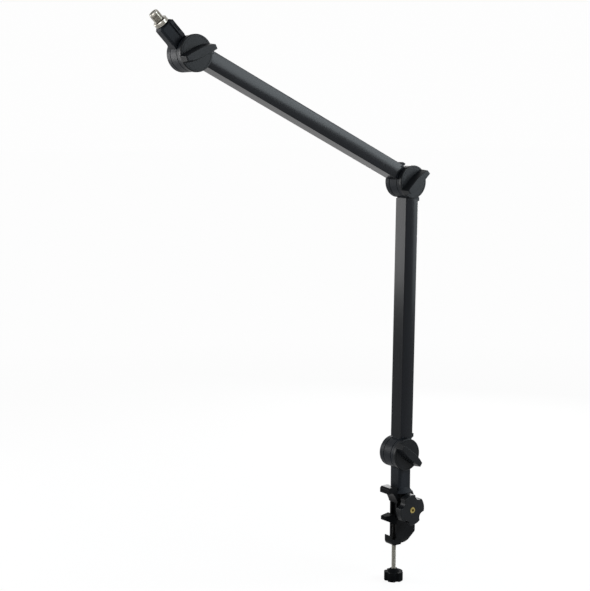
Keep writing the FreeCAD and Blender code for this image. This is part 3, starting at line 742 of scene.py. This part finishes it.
@dataclass
class FrameCasting(SoftCasting):
    """Clamp frame whose upper jaw has a level top up to the post."""

    ramp_lean: float = 0.25
    ramp_reach_share: float = 0.4
    ramp_floor_share: float = 0.7

    def shape(self, piece: Piece) -> None:
        """Level the jaw's top at the height of its tip.

        Args:
            piece: Copy of the frame before its edges are rounded.
        """
        low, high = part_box(self.node)
        reach = low.x + self.ramp_reach_share * (high.x - low.x)
        floor = low.z + self.ramp_floor_share * (high.z - low.z)
        ramp = [face for face in piece.data.polygons if self.is_ramp(face, reach, floor)]
        tops = [piece.data.vertices[index].co.z for face in ramp for index in face.vertices]
        with picked(piece, "polygons", lambda face: self.is_ramp(face, reach, floor)):
            bpy.ops.transform.resize(value=(1.0, 1.0, 0.0), center_override=(0.0, 0.0, max(tops)))

    def is_ramp(self, face: bpy.types.MeshPolygon, reach: float, floor: float) -> bool:
        """Tell whether a face is the slope behind the jaw's tip, short of a reach and above a floor."""
        leans = face.normal.z > UPWARD_SHARE and face.normal.x > self.ramp_lean
        return leans and face.center.x < reach and face.center.z > floor


@dataclass
class WingKnobs:
    """Hand knobs of the tilting joints: a rimmed disc with a swept wing across it."""

    base_deg: float = -37.0
    elbow_deg: float = 43.0
    head_deg: float = 26.0
    disc_radius: float = 0.0285
    disc_thickness: float = 0.0063
    disc_sides: int = 96
    rim_round: float = 0.0014
    rim_segments: int = 4
    groove_inset: float = 0.0032
    groove_width: float = 0.0007
    groove_depth: float = 0.0004
    wing_length: float = 0.0575
    wing_height: float = 0.0145
    root_width: float = 0.0205
    tip_width: float = 0.0115
    sweep: float = -0.0025
    crest_width_share: float = 0.66
    crest_length_share: float = 0.97
    cells: int = 16

    def build(self) -> None:
        """Model one knob and put a copy on each joint."""
        model = join([self.disc(), self.wing()], "wing_model")
        smooth(model)
        facing = Matrix.Rotation(math.pi / 2, 4, "X")
        for knuckle, degrees in zip(Knuckle, (self.base_deg, self.elbow_deg, self.head_deg)):
            node = f"{knuckle.value}_wing_knob"
            knob = add_object(f"{knuckle.value}_wing", model.data.copy())
            pivot = joint_point(f"{knuckle.value}_wing_turn")
            tilt = Matrix.Rotation(math.radians(-degrees), 4, "Y")
            settle(knob, Matrix.Translation((pivot.x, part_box(node)[1].y, pivot.z)) @ tilt @ facing)
            stand_for(knob, node)
        bpy.data.objects.remove(model)

    def disc(self) -> Piece:
        """Model the disc from the origin up along Z, with soft rims and a fine groove in its face.

        Returns:
            The disc.
        """
        top = self.disc_thickness
        bpy.ops.mesh.primitive_cylinder_add(
            vertices=self.disc_sides, radius=self.disc_radius, depth=top, location=(0.0, 0.0, top / 2))
        piece = bpy.context.active_object
        bake_place(piece)
        with picked(piece, "polygons", lambda face: face.normal.z > UPWARD_SHARE):
            bpy.ops.mesh.inset(thickness=self.groove_inset, depth=0.0)
            bpy.ops.mesh.inset(thickness=TINY, depth=-self.groove_depth)
            bpy.ops.mesh.inset(thickness=self.groove_width, depth=0.0)
            bpy.ops.mesh.inset(thickness=TINY, depth=self.groove_depth)
        rims = ((top, self.rim_round, self.rim_segments), (0.0, self.rim_round / 2, self.rim_segments // 2))
        for height, radius, segments in rims:
            with picked(piece, "edges", lambda edge: self.on_rim(ends_of(piece, edge), height)):
                bpy.ops.mesh.bevel(offset=radius, segments=segments, affect="EDGES")
        return piece

    def on_rim(self, ends: Sequence[Vector], height: float) -> bool:
        """Tell whether both ends of an edge lie on the disc's rim at a height."""
        rim = self.disc_radius - TINY
        return all(end.xy.length > rim and abs(end.z - height) < TINY for end in ends)

    def wing(self) -> Piece:
        """Model the wing on the disc's face, with its foot sunk in the disc.

        Returns:
            The wing.
        """
        foot = self.disc_thickness / 2
        height = self.wing_height + foot
        piece = box((self.wing_length, self.root_width, height), (0.0, 0.0, foot + height / 2))
        with picked(piece, "vertices"):
            bpy.ops.mesh.subdivide(number_cuts=self.cells - 1)
        self.shape(piece, foot, height)
        apply_modifier(piece, "SUBSURF", levels=1, render_levels=1)
        return piece

    def shape(self, piece: Piece, foot: float, height: float) -> None:
        """Narrow the wing to its crest, then to its tips, and sweep these to opposite sides.

        Args:
            piece: The wing.
            foot: Height of the wing's foot.
            height: Height of the wing with its foot.
        """
        slack = height / self.cells / 2
        for step in range(self.cells + 1):
            share = step / self.cells
            z = foot + share * height
            narrow = 1 - (1 - self.crest_width_share) * share
            shorten = 1 - (1 - self.crest_length_share) * share
            with picked(piece, "vertices", lambda corner: abs(corner.co.z - z) < slack):
                bpy.ops.transform.resize(value=(shorten, narrow, 1.0), center_override=ORIGIN)
        slack = self.wing_length / self.cells / 2
        for step in range(self.cells + 1):
            share = 2 * step / self.cells - 1
            x = share * self.wing_length / 2
            narrow = 1 - (1 - self.tip_width / self.root_width) * share * share
            with picked(piece, "vertices", lambda corner: abs(corner.co.x - x) < slack):
                bpy.ops.transform.resize(value=(1.0, narrow, 1.0), center_override=ORIGIN)
                bpy.ops.transform.translate(value=(0.0, self.sweep * share * abs(share), 0.0))


def draw_section(spots: Spots, name: str) -> Piece:
    """Draw a half section in the XZ plane as a line of edges.

    Args:
        spots: Radius and height of each point.
        name: Name of the piece.

    Returns:
        The line.
    """
    bpy.ops.mesh.primitive_plane_add(size=1.0)
    piece = bpy.context.active_object
    piece.name = name
    with picked(piece, "vertices"):
        bpy.ops.mesh.merge(type="CENTER")
        bpy.ops.transform.translate(value=(spots[0][0], 0.0, spots[0][1]))
        for (x, z), (next_x, next_z) in zip(spots, spots[1:]):
            step = (next_x - x, 0.0, next_z - z)
            bpy.ops.mesh.extrude_vertices_move(TRANSFORM_OT_translate={"value": step})
    return piece


def turned_piece(spots: Spots, name: str, steps: int = 72) -> Piece:
    """Piece turned round the Z axis from the points of its half section.

    Args:
        spots: Radius and height of each point, from the bottom to the top.
        name: Name of the piece.
        steps: Steps round the axis.

    Returns:
        The turned piece.
    """
    piece = draw_section(spots, name)
    with picked(piece, "vertices"):
        bpy.ops.mesh.spin(steps=steps, angle=FULL_TURN, center=ORIGIN, axis=tuple(UP))
        bpy.ops.mesh.select_all(action="SELECT")
        bpy.ops.mesh.remove_doubles(threshold=TINY / 2)
        bpy.ops.mesh.normals_make_consistent(inside=False)
    return piece


@dataclass
class Thread:
    """Screw thread along Z, swept from one tooth's profile."""

    radius: float
    pitch: float
    length: float
    tooth_share: float = 0.54
    flat_share: float = 0.12
    steps: int = 28

    def build(self, name: str) -> Piece:
        """Model the thread from the origin up along Z, with both ends closed.

        Args:
            name: Name of the piece.

        Returns:
            The thread.
        """
        turns = max(1, int(self.length / self.pitch) - 1)
        core = self.radius - self.tooth_share * self.pitch
        flat = self.flat_share * self.pitch
        rise = self.pitch / 2
        tooth = [(core, flat), (self.radius, rise), (self.radius, rise + flat)]
        piece = draw_section([(core, 0.0), *tooth, (core, self.pitch)], name)
        apply_modifier(
            piece, "SCREW", axis="Z", angle=FULL_TURN, screw_offset=self.pitch, iterations=turns,
            steps=self.steps, render_steps=self.steps, use_merge_vertices=True, merge_threshold=TINY,
        )
        with picked(piece, "vertices"):
            bpy.ops.mesh.remove_doubles(threshold=TINY)
            bpy.ops.mesh.fill_holes(sides=0)
            bpy.ops.mesh.normals_make_consistent(inside=False)
        return piece


@dataclass
class KnuckleCaps:
    """Snap-in caps over the nuts at the back of the knuckles, dished inside a raised ring."""

    ring_share: float = 0.78
    dish_depth: float = 0.0005
    edge: float = 0.0006

    def build(self) -> None:
        """Turn one cap and put a copy in each seat."""
        nodes = [f"{knuckle.value}_cap" for knuckle in Knuckle]
        low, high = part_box(nodes[0])
        radius = (high.z - low.z) / 2
        top = high.y - low.y
        edge = self.edge
        ring = radius * self.ring_share
        floor = top - self.dish_depth
        spots = [(0.0, 0.0), (radius, 0.0), (radius, top - 2 * edge), (radius - edge / 2, top - edge / 2)]
        spots += [(radius - 2 * edge, top), (ring, top), (ring - edge, floor), (2 * edge, floor)]
        spots += [(edge, floor - edge / 2), (0.0, floor - edge / 2)]
        piece = turned_piece(spots, "cap_model")
        smooth(piece)
        seat_copies(piece, nodes, "disc")


@dataclass
class TubeScrews:
    """Pan-head screws in the backs of the tubes, with a cross recess."""

    head_radius: float = 0.0035
    head_height: float = 0.002
    shank_radius: float = 0.002
    recess_length: float = 0.0042
    recess_width: float = 0.0011
    recess_depth: float = 0.0011
    rim_share: float = 0.4
    brow_share: float = 0.93
    shoulder_share: float = 0.72
    crown_share: float = 0.4
    steps: int = 40

    def build(self, nodes: Sequence[str]) -> None:
        """Turn one screw, cut its recess and drive a copy in at each node.

        Args:
            nodes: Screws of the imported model.
        """
        low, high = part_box(nodes[0])
        top = high.y - low.y
        radius = self.head_radius
        rise = self.head_height
        shank = top - rise
        spots = [(0.0, 0.0), (self.shank_radius, 0.0), (self.shank_radius, shank), (radius, shank)]
        spots += [(radius, shank + self.rim_share * rise)]
        spots += [(self.brow_share * radius, shank + self.shoulder_share * rise)]
        spots += [(self.shoulder_share * radius, shank + self.brow_share * rise)]
        spots += [(self.crown_share * radius, top), (0.0, top)]
        piece = turned_piece(spots, "pan_model", self.steps)
        for size in ((self.recess_length, self.recess_width), (self.recess_width, self.recess_length)):
            cut_away(piece, box((*size, 2 * self.recess_depth), (0.0, 0.0, top)))
        smooth(piece)
        seat_copies(piece, nodes, "pan")


@dataclass
class ClampScrew:
    """Screw of the clamp, threaded over its whole length and painted black inside the frame as painted shade."""

    pitch: float = 0.00125
    radius: float = 0.004
    shade_rise: float = 0.002

    def build(self) -> None:
        """Model the thread over the whole screw, painted black as painted shade from the frame's foot upwards."""
        low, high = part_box("clamp_screw")
        middle = (low + high) / 2
        piece = Thread(self.radius, self.pitch, high.z - low.z).build("clamp_screw_thread")
        settle(piece, Matrix.Translation((middle.x, middle.y, low.z)))
        smooth(piece, THREAD_SMOOTH_DEG)
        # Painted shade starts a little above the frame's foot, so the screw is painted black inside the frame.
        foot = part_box("clamp_frame")[0].z + self.shade_rise
        finish = ShadePaintedThread(
            name="clamp_screw_zinc", base=STEEL.base, mottle=STEEL.mottle, shade_start=foot)
        stand_for(piece, "clamp_screw", finish)


@dataclass
class MicrophoneThread:
    """Flanged thread on the head's stud: a turned flange with a chamfered, threaded end."""

    radius: float = 0.0079375
    pitch: float = 0.00094
    steps: int = 48
    bore: float = 0.0047625
    flange_radius: float = 0.0115
    flange_height: float = 0.007
    flange_edge: float = 0.0009
    waist_depth: float = 0.0006
    waist_rim_share: float = 0.34
    waist_floor_share: float = 0.4
    collar_height: float = 0.0011
    end_inset_share: float = 0.35

    def build(self) -> None:
        """Turn the flange, cut the thread and screw both onto the head."""
        mount = thread_mount()
        axis = Vector(mount["axis"])
        length = mount["dims"]["length_mm"] / MM_PER_M
        foot = Vector(mount["pos_m"]) - axis * (length / 2 + self.flange_height)
        threaded = length - self.collar_height
        thread = Thread(self.radius, self.pitch, threaded, steps=self.steps).build("stud_thread")
        settle(thread, Matrix.Translation((0.0, 0.0, self.flange_height)))
        piece = join([self.flange(), thread, self.end(length)], "stud_adapter")
        settle(piece, axis_place(foot, axis))
        smooth(piece, THREAD_SMOOTH_DEG)
        stand_for(piece, "thread_adapter")

    def flange(self) -> Piece:
        """Turn the flange, with bevelled rims and a shallow waist round it.

        Returns:
            The flange.
        """
        edge = self.flange_edge
        top = self.flange_height
        outer = self.flange_radius
        waist = outer - self.waist_depth
        rim = self.waist_rim_share * top
        floor = self.waist_floor_share * top
        spots = [(self.bore, 0.0), (outer - edge, 0.0), (outer, edge), (outer, rim), (waist, floor)]
        spots += [(waist, top - floor), (outer, top - rim), (outer, top - edge), (outer - edge, top)]
        return turned_piece([*spots, (self.bore, top), (self.bore, 0.0)], "stud_flange")

    def end(self, length: float) -> Piece:
        """Turn the plain chamfered end above the thread.

        Args:
            length: Length of the threaded part.

        Returns:
            The end.
        """
        edge = self.flange_edge
        low = self.flange_height + length - self.collar_height - self.pitch
        high = self.flange_height + length + edge
        outer = self.radius - self.end_inset_share * self.pitch
        spots = [(self.bore, low), (outer, low), (outer, high - edge), (outer - edge, high)]
        return turned_piece([*spots, (self.bore, high), (self.bore, low)], "stud_end")


@dataclass
class LockInsert:
    """Brass insert in the lock knob's middle, with a hexagon socket."""

    edge: float = 0.0006
    socket_radius: float = 0.0026
    socket_depth: float = 0.003
    socket_sides: int = 6

    def build(self) -> None:
        """Turn the insert, cut its socket and press it into the knob."""
        low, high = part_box("lock_insert")
        middle = (low + high) / 2
        radius = (high.z - low.z) / 2
        top = high.y - low.y
        spots = [(0.0, 0.0), (radius, 0.0), (radius, top - self.edge), (radius - self.edge, top), (0.0, top)]
        piece = turned_piece(spots, "lock_insert_hex")
        bpy.ops.mesh.primitive_cylinder_add(
            vertices=self.socket_sides, radius=self.socket_radius, depth=2 * self.socket_depth,
            location=(0.0, 0.0, top))
        cut_away(piece, bpy.context.active_object)
        settle(piece, axis_place(Vector((middle.x, high.y, middle.z)), -BACK))
        smooth(piece)
        stand_for(piece, "lock_insert")


@dataclass
class HeadRib:
    """Sloped rib down the upper edge of the head block's front face, with two fine slots."""

    width: float = 0.0075
    rise: float = 0.0024
    sunk: float = 0.001
    start: float = 0.0295
    slot_shares: tuple[float, float] = (0.42, 0.72)
    slot_width: float = 0.001
    slot_length: float = 0.013
    slot_depth: float = 0.0016
    edge: float = 0.0005
    edge_segments: int = 2
    sharp_deg: float = 50.0

    def build(self) -> None:
        """Measure the block beyond the joint and lay the rib on it."""
        place = arm_place(joint_point("head_tilt"), Vector(thread_mount()["axis"]))
        beyond = [corner for corner in corners_of("head_block", place) if corner.z > self.start]
        right = max(corner.x for corner in beyond)
        face = min(corner.y for corner in beyond)
        end = max(corner.z for corner in beyond if corner.x > right - TINY)
        piece = self.model(end - self.start)
        settle(piece, place @ Matrix.Translation((right - self.width, face + self.sunk, self.start)))
        smooth(piece)
        dress(piece, JOINT_COAT)
        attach(piece, body_of("head_block"))
        log.info("%s: %d faces", piece.name, len(piece.data.polygons))

    def model(self, length: float) -> Piece:
        """Model the rib from the origin up along Z, lower towards its outer edge, and cut its slots.

        Args:
            length: Length of the rib.

        Returns:
            The rib.
        """
        depth = self.rise + self.sunk
        piece = box((self.width, depth, length), (self.width / 2, -depth / 2, length / 2))
        piece.name = "head_rib"
        outer = self.width - TINY
        with picked(piece, "vertices", lambda corner: corner.co.x > outer and corner.co.y < -TINY):
            bpy.ops.transform.translate(value=(0.0, self.rise, 0.0))
        for share in self.slot_shares:
            slope = (1 - share) * self.rise + self.sunk
            spot = (share * self.width, -slope, length - self.slot_length)
            cut_away(piece, box((self.slot_width, 2 * self.slot_depth, self.slot_length), spot))
        apply_modifier(
            piece, "BEVEL", width=self.edge, segments=self.edge_segments, limit_method="ANGLE",
            angle_limit=math.radians(self.sharp_deg))
        return piece


@dataclass
class TubeShell:
    """Drawn tube with a gently bowed front face and close corners."""

    node: str
    start_joint: str
    end_joint: str
    finish: DrawnTube
    proud: float = 0.0004
    cover: float = 0.003
    bow: float = 0.0011
    columns: int = 12
    corner: float = 0.001
    segments: int = 3

    def build(self) -> None:
        """Model the tube along Z, round its long edges and lay it on its arm."""
        foot = joint_point(self.start_joint)
        place = arm_place(foot, (joint_point(self.end_joint) - foot).normalized())
        corners = corners_of(self.node, place)
        margin = Vector((self.proud, self.proud, self.cover))
        low = Vector(min(corner[way] for corner in corners) for way in range(3)) - margin
        high = Vector(max(corner[way] for corner in corners) for way in range(3)) + margin
        low.y += self.bow
        piece = box(tuple(high - low), tuple((low + high) / 2))
        piece.name = f"{self.node}_shell"
        with picked(piece, "edges", lambda edge: self.is_long(*ends_of(piece, edge))):
            bpy.ops.mesh.bevel(offset=self.corner, segments=self.segments, affect="EDGES")
        self.bow_front(piece, low, high)
        settle(piece, place)
        smooth(piece)
        stand_for(piece, self.node, self.finish)

    @staticmethod
    def is_long(start: Vector, end: Vector) -> bool:
        """Tell whether an edge of the box runs along the tube."""
        return abs(start.z - end.z) > TINY

    def bow_front(self, piece: Piece, low: Vector, high: Vector) -> None:
        """Divide the front face into columns and bow it outwards.

        Args:
            piece: Tube along Z.
            low: Its low corner.
            high: Its high corner.
        """
        half = (high.x - low.x) / 2 - self.corner
        middle = (low.x + high.x) / 2
        slack = half / self.columns
        front = low.y + TINY
        with picked(piece, "edges", lambda edge: self.crosses(*ends_of(piece, edge), front, half)):
            bpy.ops.mesh.subdivide(number_cuts=self.columns - 1)
        for step in range(1, self.columns):
            share = 2 * step / self.columns - 1
            x = middle + share * half
            with picked(piece, "vertices", lambda spot: abs(spot.co.x - x) < slack and spot.co.y < front):
                bpy.ops.transform.translate(value=(0.0, -self.bow * (1 - share * share), 0.0))

    @staticmethod
    def crosses(start: Vector, end: Vector, front: float, half: float) -> bool:
        """Tell whether an edge runs right across the front face."""
        return max(start.y, end.y) < front and abs(start.x - end.x) > half


@dataclass
class DeskClamp:
    """Clamp with its sliding jaw, screw and knobs."""

    frame_radius: float = 0.00045
    edge_radius: float = 0.0008
    lock_radius: float = 0.0012
    segments: int = 3

    def build(self) -> None:
        """Round the castings and knobs, thread the screw and turn the lock knob's insert."""
        FrameCasting("clamp_frame", self.frame_radius, self.segments).build()
        for node in ("slide_jaw", "clamp_knob"):
            SoftCasting(node, self.edge_radius, self.segments, DULL_BLACK).build()
        SoftCasting("lock_knob", self.lock_radius, self.segments).build()
        ClampScrew().build()
        LockInsert().build()


@dataclass
class Knuckles:
    """Post and the pieces that the three tilting joints share."""

    edge_radius: float = 0.0004

    def build(self) -> None:
        """Round the post and model the wing knobs and caps."""
        SoftCasting("post_fork", self.edge_radius).build()
        WingKnobs().build()
        KnuckleCaps().build()


@dataclass
class Arm:
    """One arm: its tube and the castings at both ends."""

    name: str
    start_joint: str
    end_joint: str
    tube: DrawnTube
    edge_radius: float = 0.0004

    def build(self) -> None:
        """Model the tube and round the castings."""
        TubeShell(f"{self.name}_tube", self.start_joint, self.end_joint, self.tube).build()
        for end in ("foot", "fork"):
            SoftCasting(f"{self.name}_{end}", self.edge_radius).build()


@dataclass
class Head:
    """Head block with its rib and its threaded stud."""

    edge_radius: float = 0.0005

    def build(self) -> None:
        """Round the block and model its rib and thread."""
        SoftCasting("head_block", self.edge_radius).build()
        HeadRib().build()
        MicrophoneThread().build()


def dress_solids() -> None:
    """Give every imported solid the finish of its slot, those inside and those replaced later too."""
    for node, piece in frame["nodes"].items():
        dress(piece, FINISHES[slot_of(node)])
        log.info("%s dressed as %s", node, slot_of(node).value)


@dataclass(frozen=True)
class SoftBox:
    """Square soft lamp: where it stands from the target, its side, power and colour."""

    name: str
    offset: Triple
    side: float
    power: float
    colour: Colour = WHITE


COOL = (0.86, 0.95, 1.0)
SOFT_BOXES = (
    SoftBox("key_box", (-1.5, -0.2, 0.8), side=1.0, power=12.0),
    SoftBox("back_box", (-1.0, 1.35, 0.19), side=0.8, power=15.0),
    SoftBox("front_box", (0.8, -1.2, 0.6), side=0.6, power=10.0, colour=COOL),
    SoftBox("elbow_box", (1.4, -1.0, 0.42), side=0.6, power=10.0, colour=COOL),
    SoftBox("side_box", (1.55, -0.8, 0.05), side=0.6, power=4.5, colour=COOL),
    SoftBox("rim_box", (1.4, 1.05, 0.32), side=0.9, power=15.0),
)


@dataclass
class Studio:
    """Floor, light and camera."""

    pivot_joint: str = "base_tilt"
    target_offset: Triple = (-0.2285, 0.0, 0.2987)
    azimuth_deg: float = -36.04
    elevation_deg: float = 7.42
    distance: float = 2.1036
    focal_pixels: float = 1278.5
    sensor: float = 36.0
    sight: float = 320.0
    floor_side: float = 80.0
    floor_colour: Colour = (0.9, 0.9, 0.9)
    floor_dim_share: float = 0.97
    floor_rough: float = 0.9
    floor_specular: float = 0.1
    cloud_scale: float = 3.0
    cloud_detail: float = 3.0
    near_glow_share: float = 0.9
    far_glow_share: float = 0.975
    near_reach: float = 0.3
    far_reach: float = 2.6
    world_level: float = 0.3
    surround_level: float = 0.986

    def build(self) -> None:
        """Set the floor, the world, the lamps and the camera."""
        bpy.context.scene.view_settings.view_transform = "Standard"
        self.floor()
        self.world()
        target = joint_point(self.pivot_joint) + Vector(self.target_offset)
        for soft_box in SOFT_BOXES:
            self.lamp(soft_box, target)
        self.camera(target)

    def camera(self, target: Vector) -> None:
        """Camera at the photograph's angle.

        Args:
            target: Point at the middle of the picture.
        """
        azimuth = math.radians(self.azimuth_deg)
        elevation = math.radians(self.elevation_deg)
        level = math.cos(elevation)
        back = Vector((math.sin(azimuth) * level, -math.cos(azimuth) * level, math.sin(elevation)))
        data = bpy.data.cameras.new("photo_camera")
        data.sensor_width = self.sensor
        data.lens = self.focal_pixels / max(IMAGE_WIDTH, IMAGE_HEIGHT) * self.sensor
        data.clip_end = self.sight
        camera = add_object("photo_camera", data)
        camera.location = target + back * self.distance
        camera.rotation_euler = back.to_track_quat("Z", "Y").to_euler()
        bpy.context.scene.camera = camera

    def lamp(self, soft_box: SoftBox, target: Vector) -> None:
        """Lamp that looks at the target.

        Args:
            soft_box: Lamp to set up.
            target: Point that it lights.
        """
        data = bpy.data.lights.new(soft_box.name, "AREA")
        data.size = soft_box.side
        data.energy = soft_box.power
        data.color = soft_box.colour
        lamp = add_object(soft_box.name, data)
        lamp.location = target + Vector(soft_box.offset)
        lamp.rotation_euler = Vector(soft_box.offset).to_track_quat("Z", "Y").to_euler()

    def floor(self) -> None:
        """Pale floor under the clamp's knob, near white to the camera, that keeps a faint shadow."""
        bpy.ops.mesh.primitive_plane_add(size=self.floor_side, location=(0.0, 0.0, CAD_BOX[0][2]))
        floor = bpy.context.active_object
        floor.name = "studio_floor"
        sheet = NodeSheet("studio_paper")
        tree = sheet.tree
        sheet.set(Roughness=self.floor_rough, Specular_IOR_Level=self.floor_specular)
        cloud = sheet.noise(sheet.place(), self.cloud_scale, self.cloud_detail)
        dim = tuple(self.floor_dim_share * part for part in self.floor_colour)
        sheet.feed("Base Color", sheet.tint(cloud, self.floor_colour, dim))
        away = add_node(tree, "VectorMath", {0: sheet.place()}, operation="LENGTH").outputs["Value"]
        glow_share = sheet.spread(
            away, self.near_glow_share, self.far_glow_share, self.near_reach, self.far_reach)
        inputs = {0: seen_rays(tree), 1: glow_share}
        share = add_node(tree, "Math", inputs, operation="MULTIPLY").outputs["Value"]
        glow = add_node(tree, "Emission", {}).outputs["Emission"]
        inputs = {"Fac": share, 1: sheet.shader.outputs["BSDF"], 2: glow}
        mix = add_node(tree, "MixShader", inputs).outputs["Shader"]
        tree.links.new(mix, tree.nodes["Material Output"].inputs["Surface"])
        floor.data.materials.append(sheet.material)

    def world(self) -> None:
        """White surround for the camera and reflections, and a softer one for the light."""
        world = bpy.data.worlds.new("studio_surround")
        world.use_nodes = True
        tree = world.node_tree
        background = tree.nodes["Background"]
        background.inputs["Color"].default_value = (*WHITE, 1.0)
        inputs = {"Value": seen_rays(tree), "To Min": self.world_level, "To Max": self.surround_level}
        level = add_node(tree, "MapRange", inputs).outputs["Result"]
        tree.links.new(level, background.inputs["Strength"])
        bpy.context.scene.world = world


def main() -> None:
    """Build the boom arm from the clamp up, then the studio."""
    logging.basicConfig(level=logging.INFO, format="%(message)s")
    dress_solids()
    DeskClamp().build()
    Knuckles().build()
    Arm("lower", "base_tilt", "elbow_fold", LOWER_TUBE).build()
    Arm("upper", "elbow_fold", "head_tilt", UPPER_TUBE).build()
    TubeScrews().build([f"{arm}_{end}_screw" for arm in ("lower", "upper") for end in ("foot", "fork")])
    Head().build()
    Studio().build()


if __name__ == "__main__":
    main()
